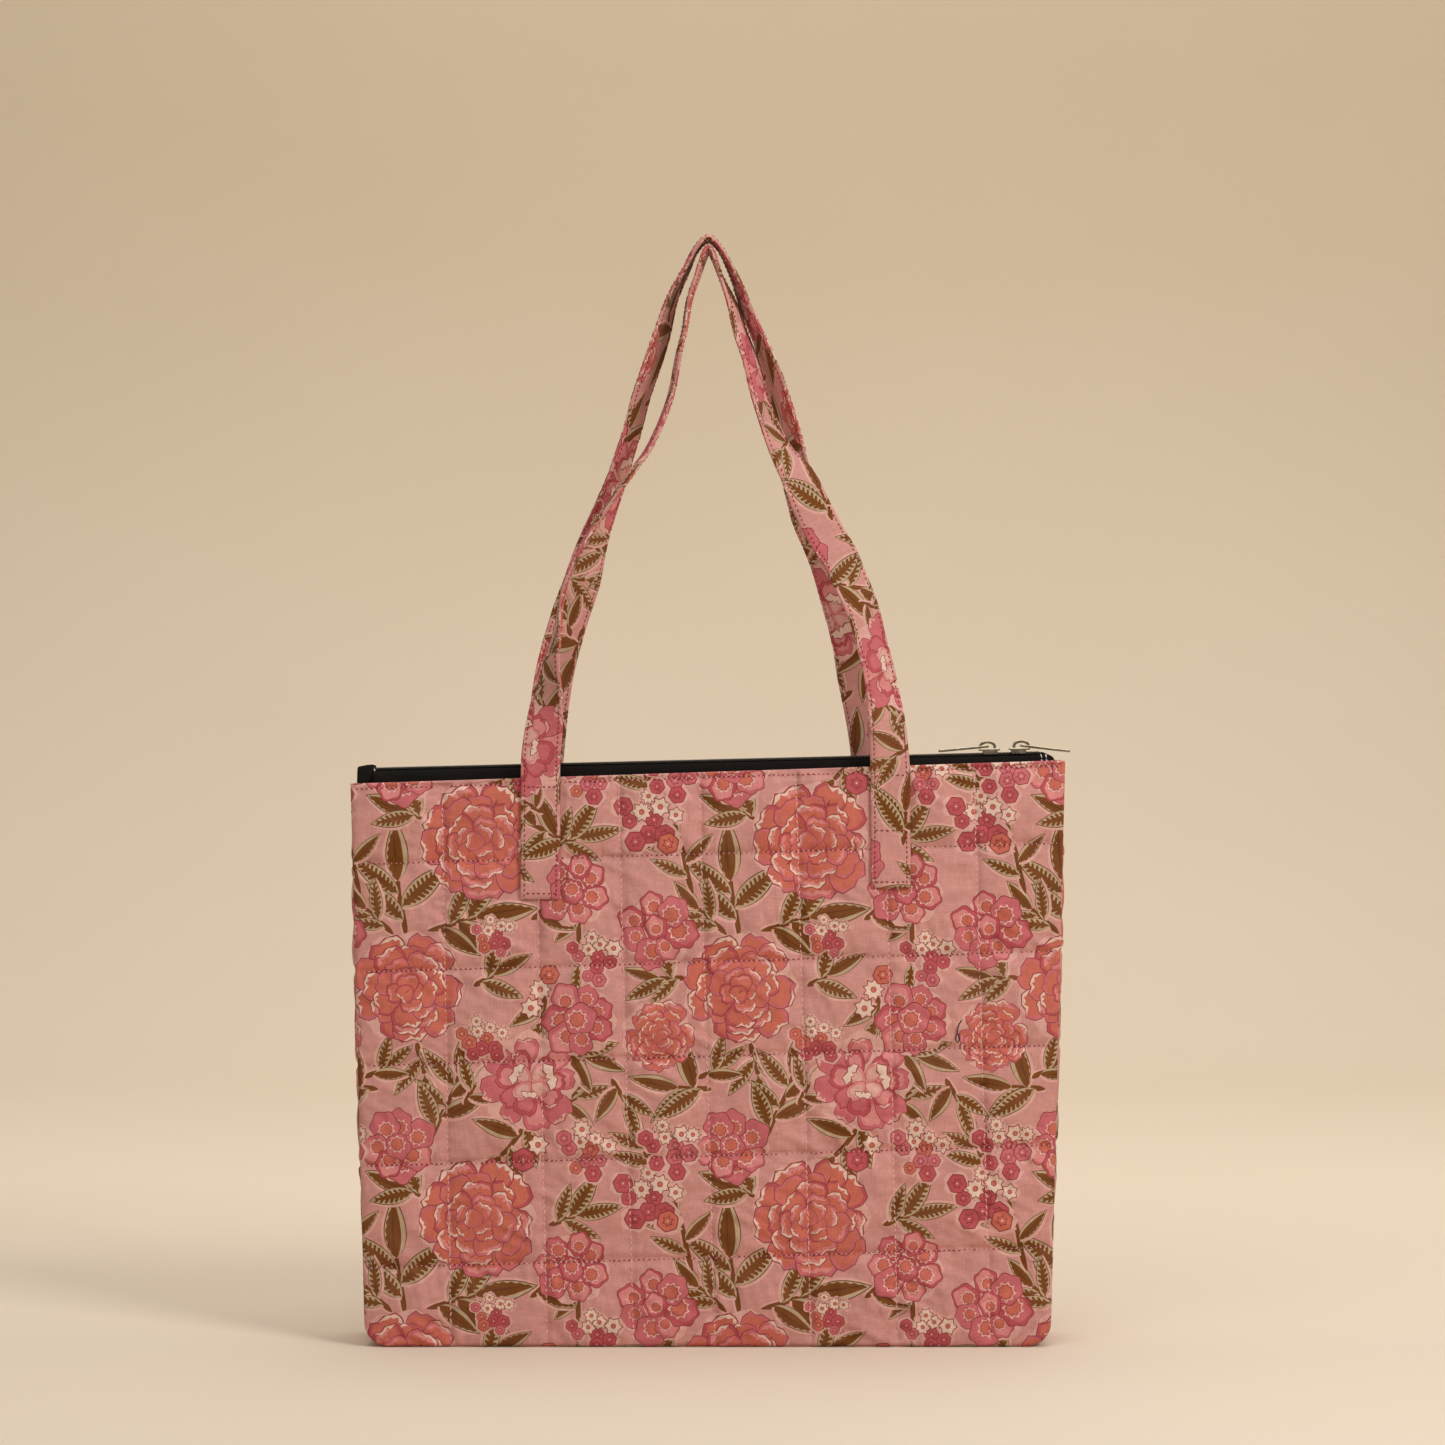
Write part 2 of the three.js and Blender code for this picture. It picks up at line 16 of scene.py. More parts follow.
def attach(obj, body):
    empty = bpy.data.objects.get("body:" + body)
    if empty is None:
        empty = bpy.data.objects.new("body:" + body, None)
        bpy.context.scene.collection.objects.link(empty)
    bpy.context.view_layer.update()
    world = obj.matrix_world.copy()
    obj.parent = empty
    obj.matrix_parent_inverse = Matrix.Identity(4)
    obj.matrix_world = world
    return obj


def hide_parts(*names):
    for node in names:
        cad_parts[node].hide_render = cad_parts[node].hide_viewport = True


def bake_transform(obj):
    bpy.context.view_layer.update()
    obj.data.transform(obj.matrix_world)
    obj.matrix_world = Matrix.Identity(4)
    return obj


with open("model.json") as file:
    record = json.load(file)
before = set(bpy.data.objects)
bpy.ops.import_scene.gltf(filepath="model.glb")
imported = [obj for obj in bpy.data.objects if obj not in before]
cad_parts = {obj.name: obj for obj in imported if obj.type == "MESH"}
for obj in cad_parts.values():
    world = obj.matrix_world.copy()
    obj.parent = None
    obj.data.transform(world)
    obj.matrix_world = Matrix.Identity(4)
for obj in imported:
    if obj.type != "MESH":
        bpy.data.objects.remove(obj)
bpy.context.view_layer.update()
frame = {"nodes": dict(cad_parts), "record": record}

MM = 0.001
PI = math.pi


# ---------------------------------------------------------------- driving dimensions

SIDES = {"front": -1, "back": 1}
BASE_HALF_WIDTH = 0.1862
TOP_HALF_WIDTH = 0.195
BASE_HALF_DEPTH = 0.027
TOP_HALF_DEPTH = 0.0135
HEM_HEIGHT = 0.311
HEM_SLOPE = 0.0328
CORNER_RADIUS = 0.013
FACE_BELLY = 0.004
SIDE_BELLY = 0.0025
PANEL_THICKNESS = 0.0038
EDGE_ROLL = 0.0026          # radius of a face's rolled edge at the side and base seams
HEM_ROLL = 0.0013           # radius of the fold at the top edge
HEM_STITCH = 0.003          # topstitching below the top edge

QUILT_COLUMNS = (-0.145, -0.094, -0.049, -0.005, 0.048, 0.096, 0.145)    # at the top edge
QUILT_DRIFT = (0.006, 0.007, 0.009, 0.009, 0.008, 0.007, 0.008)          # to the right at the base
QUILT_ROWS = (0.048, 0.103, 0.157, 0.208, 0.2665)                        # at the middle
QUILT_ROW_SLOPE = 0.03
PUFF_LIMIT = 0.0032         # the most that the wadding lifts the cloth between two stitch lines
PUFF_SHARE = 0.65           # of the simulated lift, as worn padding has settled
CHANNEL_DEPTH = 0.0014
CHANNEL_WIDTH = 0.0021
EDGE_FADE = 0.004           # the relief dies away this near a panel's edge
HEM_FADE = 0.002            # and this near its hem

STITCH_PITCH = 0.0032       # along the upright quilting
LEVEL_PITCH = 0.0027        # along the level quilting, the hem and the straps
SEAM_MARGIN = 0.003         # from a panel's edge to the ends of its stitching
HEM_MARGIN = 0.0012         # and from its hem
UPRIGHT_SHARE = 0.9         # of its pitch that an upright stitch covers
DARK_SHARE = 0.56           # of the level pitch that the dark thread covers
PALE_SHARE = 0.36           # and that the pale thread covers, after it
UPRIGHT_SWAY = 0.0004       # how far the stitches lean from their line
LEVEL_SWAY = 0.0003
THREAD_RADIUS = 0.00036
PUCKER = 0.00023            # height of the small creases beside a row of stitches
PUCKER_REACH = 0.0045
DRAW = 1.6 * PUCKER         # height of the longer, slanting ones
DRAW_REACH = 0.012
CREASE = 0.00046            # height of the soft creases all over the worn cloth
LOOSE_THREAD = np.array([0.1355, 0.169])     # where the loop of the stray thread starts, on the front
LOOSE_HANG = np.array([0.0022, 0.0075])      # from there to its upper end
LOOSE_BOW = np.array([-0.0009, 0])           # of the part between
LOOSE_LOOP = np.array([0.0011, 0.0022])      # radii of the loop
LOOSE_RADIUS = 0.0003
LOOSE_LIFT = 0.0006         # how far its middle stands off the cloth

CHAIN_HEIGHT = 0.3159
CHAIN_SLOPE = 0.0243
CHAIN_LEFT = -0.1833
CHAIN_RIGHT = 0.182
COIL_PITCH = 0.0013
COIL_CENTRE = 0.002         # from the chain's middle
COIL_HEIGHT = 0.00098       # of its middle, above the tape
COIL_HALF_WIDTH = 0.00092
COIL_HALF_HEIGHT = 0.00076
COIL_LEAN = 0.0003          # how far the turns lean along the chain
COIL_STEPS = 10             # mesh rings to one turn
WIRE_RADIUS = 0.00032
CORE_RADIUS = 0.0008
TAPE_HALF_THICKNESS = 0.0003
TAPE_RIPPLE = 0.0003
TAPE_SLACK = (-0.0006, -0.011)      # heights between which it ripples: from the coil to behind the hem
TAPE_FADE = 0.004
# Each folded tape end: its start, its end, its ridge at both, and its foot, in the chain's frame.
TAILS = {
    "left": (CHAIN_LEFT + 0.0012, -0.1922, 0.0034, 0.0030, -0.0084),
    "right": (CHAIN_RIGHT + 0.0002, 0.1897, 0.0018, -0.0011, -0.0058),
}
TAIL_HALF_WIDTH = 0.0078
TAIL_INNER_HALF_WIDTH = 0.0066
TAIL_TUCK = 0.0006          # how far its ends are tucked in
TAIL_TUCK_WIDTH = 0.008     # the half width that the tuck is taken from
TAIL_THICKNESS = 0.0012
TAIL_PINCH = 0.1            # share by which its middle is narrower
TAIL_SOFTNESS = 0.00025     # height of the waves in it
TAIL_ROUNDNESS = 1.6        # 1 is a sharp ridge, 2 a round one
TACK_ROWS = {"left": (-0.0006,), "right": (0.0004, 0.0032)}     # from each tail's start
TACK_MARGINS = (0.0015, 0.0008)     # from a tail's foot and from its ridge
TACK_PITCH = 0.0024
TACK_SHARE = 0.86

STRAP_WIDTH = 0.0215
STRAP_THICKNESS = 0.0026
STRAP_STITCH_DROP = 0.004
STRAP_END_LENGTH = 0.062
STRAP_ROW = 0.0021          # stitching in from a strap's edge
STRAP_CENTRES = {"front": (-0.091, 0.0995), "back": (-0.091, 0.0905)}
STRAP_BOX_ROWS = (0.003, STRAP_END_LENGTH - 0.001)      # cross rows of stitching, from either end
STRAP_EXTRA_ROW = 0.031     # one more, from the right end
STRAP_REST = 0.0002         # gap between a sewn end and its panel
PRESS_REACH = 1.35          # a sewn end presses this far from its middle, in half strap widths
PRESS_FADE = 0.3            # and the last part of that more and more softly
PRESS_BELOW = 0.003         # below the sewn end it dies away over this
STRAP_HINGE = (0.017, HEM_HEIGHT - 0.009, HEM_HEIGHT + 0.003)     # its y, and where its bend starts and ends

PRINT_WIDTH = 181.0         # one repeat of the print, in millimetres
PRINT_HEIGHT = 204.0
PRINT_CENTRE = (-124.0, 273.0)
PRINT_SEED = 11
PANEL_GRID = 0.0026         # spacing of the mesh's own points on the panels
BASE_GRID = 0.004
STRAP_GRID = 0.0013
GUSSET_PRINT_TURN = 0.2
# How far the print is moved on the flat cloth of each piece, in millimetres.
PRINT_MOVES = {
    "front_panel": (0, 0), "back_panel": (37, 61), "left_gusset": (60, 30), "right_gusset": (15, 110),
    "base_panel": (90, 0), "front_strap": (-2, 83), "back_strap": (-30, 90),
}

CAMERA_PLACE = (0.008, -2.0, 0.338)
CAMERA_LENS = 90.8          # in millimetres, on a sensor 36 wide
BACKDROP_FRONT = -2.6
BACKDROP_WALL = 2.3
BACKDROP_TOP = 4.0
BACKDROP_BEND = 0.9
BACKDROP_HALF_WIDTH = 3.5
BACKDROP_DROP = 0.0003      # below the bag's base
# The wall's painted shade deepens over this height.
BACKDROP_SHADE_HEIGHT = 1.1
FLOOR_FADE = (-0.05, 0.7)   # the floor's tone turns into the wall's between these, along Y
WARM_LIGHT = (1, 0.97, 0.93)
WORLD_STRENGTH = 0.17
# Each lamp: its place, what it points at, its power in watts and its size.
LAMPS = {
    "key": ((1.1, -1.1, 1.4), (0, 0, 0.28), 16.2, 0.55),
    "fill": ((-0.9, -1.8, 2.1), (0, 0, 0.35), 13.2, 1.8),
    "top": ((0.2, 0.3, 3.0), (0, 0.6, 0), 46, 2.6),
}


# ---------------------------------------------------------------- inks


def srgb(red, green, blue):
    """A colour given as 0 to 255 in sRGB, as linear light."""
    def linear(c):
        c /= 255
        return c / 12.92 if c <= 0.04045 else ((c + 0.055) / 1.055) ** 2.4
    return (linear(red), linear(green), linear(blue), 1.0)


INKS = {
    "ground": srgb(211, 151, 143),
    "halo": srgb(225, 172, 161),
    "maroon": srgb(140, 56, 56),
    "magenta": srgb(190, 83, 91),
    "pink": srgb(205, 108, 115),
    "blush": srgb(221, 140, 137),
    "coral": srgb(206, 110, 92),
    "cream": srgb(236, 204, 186),
    "brown": srgb(119, 69, 19),
    "bark": srgb(101, 54, 17),
    "khaki": srgb(192, 168, 136),
}
BACKDROP_FLOOR = srgb(231, 216, 197)
BACKDROP_LIGHT = srgb(252, 236, 214)
# The wall's tone at its top, darkened by painted shade.
BACKDROP_PAINTED_SHADE = srgb(231, 213, 186)


# ---------------------------------------------------------------- the print, in millimetres


def ellipse(x, y, rx, ry, count=16, lobes=0, depth=0.0):
    """Points round an ellipse whose radius swells at each of its lobes."""
    angle = np.linspace(0, 2 * PI, count, endpoint=False)
    swell = 1 + depth * np.cos(lobes * angle)
    return np.stack([x + rx * swell * np.cos(angle), y + ry * swell * np.sin(angle)], 1)


def star(radius, points, depth):
    """A toothed round: its radius jumps in and out between neighbouring points."""
    return ellipse(0, 0, radius, radius, 2 * points, points, depth)


def placed(points, x, y, turn):
    """Points turned about the origin, then moved."""
    c, s = math.cos(turn), math.sin(turn)
    return np.stack([x + c * points[:, 0] - s * points[:, 1], y + s * points[:, 0] + c * points[:, 1]], 1)


def all_placed(shapes, x, y, turn=0.0):
    return [(ink, placed(points, x, y, turn)) for ink, points in shapes]


def carried(shapes, distance, direction, spin=0.0):
    """Shapes moved out from the middle in a direction, and turned to face that way."""
    x, y = distance * math.cos(direction), distance * math.sin(direction)
    return all_placed(shapes, x, y, direction + spin)


def ring_turns(count, rng):
    """Directions round a ring from a random start, each a little off its even place."""
    start = rng.uniform(0, 2 * PI)
    for k in range(count):
        yield start + 2 * PI * k / count + rng.uniform(-0.2, 0.2)


def petal_edge(length, width, share, angles):
    """Points at the angles given round a petal that grows along +Y, at a share of its size."""
    rise = (1 + np.sin(angles)) / 2
    x = width / 2 * np.cos(angles) * (0.55 + 0.45 * rise)
    notch = 0.1 * np.exp(-(np.cos(angles) / 0.26) ** 2) * (rise > 0.5)
    y = length * (rise + 0.035 * np.cos(9 * angles) * rise - notch)
    return np.stack([x * share, length * (0.46 - 0.46 * share) + y * share], 1)


def petal(length, width, share=1.0, count=19):
    return petal_edge(length, width, share, np.linspace(-PI / 2, 1.5 * PI, count, endpoint=False))


def highlight(length, width, middle, spread, outer=0.95, inner=0.8):
    """A ragged sliver of light just inside a petal's rim, about the angle given."""
    angles = np.linspace(middle - spread, middle + spread, 9)
    rim = petal_edge(length, width, outer, angles)
    shares = inner + 0.075 * np.array([0.6, -1, 0.7, -1.2, 1, -0.8, 0.5])
    back = [petal_edge(length, width, share, angle[None])[0]
            for share, angle in zip(shares, angles[::-1][1:-1])]
    return np.concatenate([rim, np.array(back)])


def outlined_petal(length, width, rim_ink, fill_ink, fill_share):
    """A petal with its dark edge line, its rim and its fill."""
    return [("maroon", petal(length, width, 1.03)), (rim_ink, petal(length, width, 0.98)),
            (fill_ink, petal(length, width, fill_share))]


# Rings of a peony, the outer first: petals, the foot's distance and the length as shares of its radius.
PEONY_RINGS = ((9, 0.4, 0.6), (8, 0.3, 0.5), (7, 0.16, 0.46), (5, 0.04, 0.4), (3, -0.08, 0.34))


def peony(radius, rng):
    """Rings of cupped coral petals with pink rims and bright edges."""
    shapes = [("halo", ellipse(-1.4, 1.4, radius * 0.95, radius * 0.92, 40, 9, 0.05))]
    for count, reach, size in PEONY_RINGS:
        for turn in ring_turns(count, rng):
            length = radius * size * rng.uniform(0.88, 1.12)
            width = length * rng.uniform(1.05, 1.4)
            foot = radius * reach * rng.uniform(0.82, 1.08)
            rim = rng.choice(("magenta", "pink", "pink"))
            body = outlined_petal(length, width, rim, "coral", rng.uniform(0.78, 0.86))
            if rng.random() < 0.75:
                middle = PI / 2 + rng.uniform(-0.9, 0.9)
                body.append(("cream", highlight(length, width, middle, rng.uniform(0.5, 1.0))))
            if rng.random() < 0.5:
                middle = PI / 2 + rng.uniform(-0.5, 0.5)
                body.append(("blush", highlight(length, width, middle, rng.uniform(0.7, 1.2), 0.8, 0.6)))
            if rng.random() < 0.35:
                fold = np.array([[0, 0.1], [0.04, 0.4], [0.02, 0.6], [-0.02, 0.4]]) * length
                body.append(("maroon", fold))
            shapes += carried(body, foot, turn, -PI / 2)
    return shapes


def heart(radius):
    """The middle of a small petal: a coral blotch inside a ring of fine pale teeth."""
    return [("cream", star(radius * 1.34, 9, 0.17)), ("pink", star(radius * 1.16, 9, 0.12)),
            ("maroon", star(radius * 1.04, 8, 0.08)), ("coral", star(radius * 0.96, 8, 0.08))]


def cluster_flower(radius, rng, petals=7):
    """A crowd of round pink florets, each with its own coral heart."""
    shapes = [("halo", ellipse(1.0, -1.2, radius * 0.94, radius * 0.9, 30, 7, 0.07))]
    start = rng.uniform(0, 2 * PI)
    places = [(start + 2 * PI * k / petals + rng.uniform(-0.2, 0.2), rng.uniform(0.55, 0.68))
              for k in range(petals)]
    places.append((start, 0.05))
    for turn, reach in places:
        size = radius * rng.uniform(0.31, 0.45)
        lobes = rng.choice((5, 6, 7))
        edge, middle = rng.choice(("magenta", "pink")), rng.choice(("pink", "blush"))
        body = [("maroon", ellipse(0, 0, size * 1.06, size * 0.98, 28, lobes, 0.08)),
                (edge, ellipse(0, 0, size, size * 0.92, 28, lobes, 0.08)),
                (middle, ellipse(size * 0.08, size * 0.05, size * 0.8, size * 0.7, 20, 5, 0.09))]
        centre = heart(size * rng.uniform(0.36, 0.46))
        body += all_placed(centre, -size * 0.2, rng.uniform(-0.15, 0.15) * size, rng.uniform(0, 1))
        shapes += carried(body, radius * reach, turn)
    return shapes


# Rings of an open flower: petals, the foot's distance and the length as shares of its radius, and the ink.
OPEN_RINGS = ((8, 0.34, 0.66, "pink"), (7, 0.16, 0.56, "magenta"), (4, 0.0, 0.46, "blush"))
# Its pale inner petals: which way each grows, and its length as a share of the radius.
OPEN_CUPS = ((0.3, 0.82), (2.6, 0.68), (4.6, 0.5))


def open_flower(radius, rng):
    """Broad loose pink petals round a pale cup."""
    shapes = [("halo", ellipse(-1.2, 1.0, radius * 0.98, radius * 0.95, 36, 8, 0.08))]
    for count, reach, size, ink in OPEN_RINGS:
        for turn in ring_turns(count, rng):
            length = radius * size * rng.uniform(0.85, 1.15)
            width = length * rng.uniform(0.8, 1.15)
            fill = "halo" if ink == "blush" else rng.choice(("blush", "blush", "pink"))
            body = outlined_petal(length, width, ink, fill, rng.uniform(0.6, 0.85))
            if rng.random() < 0.55:
                body.append(("halo", highlight(length, width, PI / 2 + rng.uniform(-0.7, 0.7), 0.6)))
            shapes += carried(body, radius * reach, turn, -PI / 2)
    for turn, size in OPEN_CUPS:
        length = radius * size
        cup = [("maroon", highlight(length, length * 0.9, PI / 2, 1.15, 1.0, 0.5)),
               ("cream", highlight(length, length * 0.9, PI / 2, 1.08, 0.95, 0.56))]
        shapes += carried(cup, -0.3 * length, turn, -PI / 2)
    return shapes


def daisy(radius, rng):
    """A small pale flower with a fine dark edge and a coral middle."""
    petals = rng.choice((6, 7, 9))
    shapes = [("maroon", star(radius * 1.08, petals, 0.2)), ("cream", star(radius * 0.93, petals, 0.18)),
              ("maroon", ellipse(0, 0, radius * 0.34, radius * 0.34, 8)),
              ("coral", ellipse(0, 0, radius * 0.26, radius * 0.26, 8))]
    return all_placed(shapes, 0, 0, rng.uniform(0, PI))


def rosette(radius, rng):
    """A small many-ringed bloom."""
    main = rng.choice(("magenta", "magenta", "pink", "coral"))
    shapes = [("maroon", ellipse(0, 0, radius * 1.08, radius * 1.08, 18, 6, 0.07)),
              (main, ellipse(0, 0, radius * 0.97, radius * 0.97, 18, 6, 0.07)),
              ("maroon", star(radius * 0.5, 6, 0.24)), (main, star(radius * 0.38, 6, 0.2)),
              ("cream", ellipse(0, 0, radius * 0.1, radius * 0.1, 6))]
    return all_placed(shapes, 0, 0, rng.uniform(0, PI))


def spray(radius, rng):
    """A loose bunch of small flowers over a pale smear."""
    shapes, flowers = [], []
    for k in range(11):
        turn = k * 2.4 + rng.uniform(-0.25, 0.25)
        reach = radius * 0.9 * math.sqrt((k + 0.3) / 11)
        size = radius * rng.uniform(0.2, 0.29)
        at = (reach * math.cos(turn), reach * math.sin(turn))
        shapes.append(("halo", ellipse(*at, size * 1.5, size * 1.35, 14, 5, 0.1)))
        flowers += all_placed(daisy(size, rng) if k % 5 in (1, 3) else rosette(size, rng), *at)
    return shapes + flowers


def lens(length, width, low=-1.0, high=1.0, count=11):
    """A pointed leaf along +X between two shares of its half-width."""
    t = np.linspace(0, 1, count)
    half = width / 2 * np.sin(PI * t ** 0.8) ** 0.85
    top = np.stack([length * t, high * half], 1)
    bottom = np.stack([length * t, low * half], 1)[::-1][1:-1]
    return np.concatenate([top, bottom])


def leaf(length, width, feathered):
    """A pale leaf with a thin edge, and over it a brown body or a feathered midrib."""
    shapes = [("halo", lens(length * 1.03, width * 1.12) + np.array([-0.6, 1.4])),
              ("bark", lens(length * 1.03, width * 1.09)), ("khaki", lens(length, width))]
    if not feathered:
        body = lens(length * 0.95, width, -0.55, 0.9, 15)
        body[1:15, 1] += 0.04 * width * np.cos(PI * np.arange(14))
        vein = lens(length * 0.8, width * 0.1, -1, 1, 5) + np.array([length * 0.08, width * 0.1])
        return shapes + [("brown", body), ("bark", vein)]
    shapes.append(("brown", lens(length * 0.94, width * 0.34, -1, 1, 9)))
    barbs = max(5, int(length / 2.9))
    for k in range(1, barbs):
        t = k / barbs
        reach = 0.88 * width / 2 * math.sin(PI * t ** 0.8) ** 0.85
        for side, thick in ((-1, 0.95), (1, 1.3)):
            foot = length * 0.92 * t
            barb = [[foot - thick, 0], [foot + thick * 0.8, 0], [foot + thick + 1.4, side * reach * 0.75],
                    [foot + 1.9, side * reach], [foot + 0.9, side * reach * 0.85]]
            shapes.append(("brown", np.array(barb)))
    return shapes


def ribbon(points, width):
    """A stem along a row of points, narrow where it starts."""
    points = np.array(points, float)
    along = np.gradient(points, axis=0)
    along /= np.linalg.norm(along, axis=1)[:, None]
    t = np.linspace(0, 1, len(points))[:, None]
    half = width / 2 * np.minimum(0.25 + 5 * t, 1) * (1 - 0.25 * t)
    side = np.stack([-along[:, 1], along[:, 0]], 1) * half
    return np.concatenate([points + side, (points - side)[::-1]])


def sprig(length, bend, leaves, size, rng):
    """A bending stem with leaves at both sides and one at its tip."""
    t = np.linspace(0, 1, 12)
    stem = np.stack([length * t, bend * np.sin(PI * t / 2) ** 2], 1)
    shapes = [("halo", ribbon(stem, 3.4) + np.array([-0.5, 0.9])), ("bark", ribbon(stem, 3.1)),
              ("brown", ribbon(stem, 2.5))]
    for k in range(leaves):
        share = 1 if k == 0 else 1 - k / (leaves + 0.4)
        side = 0 if k == 0 else (1 if k % 2 else -1)
        at = (length * share, bend * math.sin(PI * share / 2) ** 2, side * rng.uniform(0.6, 1.15))
        reach = size * rng.uniform(0.82, 1.12)
        body = leaf(reach, reach * rng.uniform(0.29, 0.36), k % 2 == 1 or rng.random() < 0.3)
        if side < 0:
            body = [(ink, points * np.array([1, -1])) for ink, points in body]
        shapes += all_placed(body, *at)
    return shapes


# Each sprig of the repeat: where it starts, which way it grows, its length, its bend, how many leaves it has
# and how long they are.
SPRIGS = (
    (-40, -52, 1.62, 31, 3, 4, 33), (-47, -50, 2.3, 20, 2, 4, 24), (-28, -48, 0.15, 27, 3, 5, 31),
    (-29, 12, 2.75, 10, 0, 3, 27), (38, -3, 0.2, 15, 2, 4, 25), (54, -26, -1.68, 40, 4, 3, 19),
    (116, -28, 1.95, 32, -4, 4, 24), (-3, -78, 0.5, 12, 0, 3, 24), (36, -84, -1.9, 12, 2, 3, 19),
    (112, -74, 2.9, 14, 3, 4, 24), (-34, -108, -1.45, 18, 2, 4, 25), (-26, -162, 1.3, 38, -5, 6, 27),
    (32, -146, -2.4, 31, 4, 4, 24), (44, -143, 0.3, 10, 2, 3, 20), (46, -114, -0.35, 10, 2, 3, 23),
    (126, -134, 2.95, 18, 2, 4, 30), (96, -180, 1.9, 20, 2, 4, 21), (28, -42, 0.4, 12, 3, 3, 21),
    (-8, -142, 0.9, 12, 2, 3, 20), (72, -128, -1.2, 14, 2, 3, 21), (-62, -128, 0.7, 12, -3, 3, 22),
)
# Each flower of the repeat: its kind, its place and its radius.
FLOWERS = (
    (open_flower, 28, -130, 27), (peony, 98, -106, 20), (peony, -38, -80, 32), (peony, 0, 0, 33),
    (cluster_flower, 96, -47, 21), (cluster_flower, 50, -26, 20), (cluster_flower, 54, -96, 20),
    (cluster_flower, -44, -164, 20), (spray, 92, 12, 19), (spray, 62, -62, 15), (spray, 2, -106, 14),
    (spray, 58, -166, 16), (spray, 104, -164, 17), (spray, 8, -50, 12), (daisy, 33, -80, 5),
    (daisy, 28, -90, 5), (rosette, 38, -72, 5), (rosette, 24, -172, 6), (daisy, 32, -164, 5),
)


def print_repeat():
    """Every inked shape of one repeat, the lowest layer first."""
    rng = random.Random(PRINT_SEED)
    shapes = []
    for x, y, turn, length, bend, leaves, size in SPRIGS:
        shapes += all_placed(sprig(length, bend, leaves, size, rng), x, y, turn)
    for kind, x, y, radius in FLOWERS:
        shapes += all_placed(kind(radius, rng), x, y)
    return shapes


REPEAT = print_repeat()


def shapes_over(low, high, offset, turn=0.0):
    """The print's shapes, in metres, wherever they touch a rectangle of cloth, the lowest layer first."""
    found = []
    centre = np.array(PRINT_CENTRE) + np.array(offset)
    corners = np.array([[x, y] for x in (low[0], high[0]) for y in (low[1], high[1])]) / MM
    corners = placed(corners, 0, 0, -turn)
    first = np.floor((corners.min(0) - centre) / (PRINT_WIDTH, PRINT_HEIGHT)).astype(int) - 1
    last = np.ceil((corners.max(0) - centre) / (PRINT_WIDTH, PRINT_HEIGHT)).astype(int) + 2
    moves = [centre + np.array([i * PRINT_WIDTH, j * PRINT_HEIGHT])
             for i in range(first[0], last[0]) for j in range(first[1], last[1])]
    for ink, points in REPEAT:
        for move in moves:
            moved = placed(points + move, 0, 0, turn) * MM
            if (moved.max(0) > low).all() and (moved.min(0) < high).all():
                found.append((ink, moved))
    return found


# ---------------------------------------------------------------- cutting cloth


def inside(points, outline):
    """Which points lie inside a closed outline."""
    x, y = points[:, 0][:, None], points[:, 1][:, None]
    ax, ay = outline[:, 0], outline[:, 1]
    bx, by = np.roll(ax, -1), np.roll(ay, -1)
    spans = (ay > y) != (by > y)
    rise = np.where(by == ay, 1.0, by - ay)
    crosses = spans & (x < (bx - ax) * (y - ay) / rise + ax)
    return crosses.sum(1) % 2 == 1


def even_outline(outline, pitch):
    """The outline with points no further apart than the pitch."""
    points = []
    for a, b in zip(outline, np.roll(outline, -1, axis=0)):
        count = max(1, math.ceil(np.linalg.norm(b - a) / pitch))
        points += [a + (b - a) * k / count for k in range(count)]
    return np.array(points)


def grid_inside(outline, pitch):
    """A square grid of points inside an outline, one step clear of the edges of its box."""
    low, high = outline.min(0), outline.max(0)
    counts = np.maximum(1, np.ceil((high - low) / pitch)).astype(int)
    xs = np.linspace(low[0], high[0], counts[0] + 1)[1:-1]
    ys = np.linspace(low[1], high[1], counts[1] + 1)[1:-1]
    grid = np.array([[x, y] for x in xs for y in ys]).reshape(-1, 2)
    return grid[inside(grid, outline)]


def triangulate(loops, grid):
    """Corners and anticlockwise triangles of a flat sheet whose sides follow every loop given."""
    points = [Vector(p) for p in grid.tolist()]
    edges = []
    for loop in loops:
        first, count = len(points), len(loop)
        points += [Vector(p) for p in loop.tolist()]
        edges += [(first + k, first + (k + 1) % count) for k in range(count)]
    flat = delaunay_2d_cdt(points, edges, [], 0, 1e-7, False)
    corners, triangles = np.array([tuple(v) for v in flat[0]]), np.array(flat[2])
    side, other = (corners[triangles[:, k]] - corners[triangles[:, 0]] for k in (1, 2))
    clockwise = side[:, 0] * other[:, 1] < side[:, 1] * other[:, 0]
    triangles[clockwise] = triangles[clockwise][:, ::-1]
    return corners, triangles


def top_inks(middles, shapes):
    """The ink that shows at each point, which is that of the last shape over it."""
    names = list(INKS)
    inks = np.zeros(len(middles), int)
    order = np.argsort(middles[:, 0])
    across = middles[order, 0]
    for ink, outline in shapes:
        low, high = outline.min(0), outline.max(0)
        near = order[np.searchsorted(across, low[0]):np.searchsorted(across, high[0])]
        near = near[(middles[near, 1] > low[1]) & (middles[near, 1] < high[1])]
        if len(near):
            inks[near[inside(middles[near], outline)]] = names.index(ink)
    return inks


def cut_cloth(outline, pitch, offset, turn=0.0):
    """A printed piece of cloth, flat: corners, triangles and each triangle's ink."""
    edge = even_outline(outline, pitch)
    shapes = shapes_over(edge.min(0), edge.max(0), offset, turn)
    points, triangles = triangulate([edge] + [p for _, p in shapes], grid_inside(edge, pitch))
    middles = points[triangles].mean(1)
    kept = inside(middles, edge)
    triangles, middles = triangles[kept], middles[kept]
    inks = top_inks(middles, shapes)
    used, triangles = np.unique(triangles, return_inverse=True)
    return points[used], triangles.reshape(-1, 3), inks


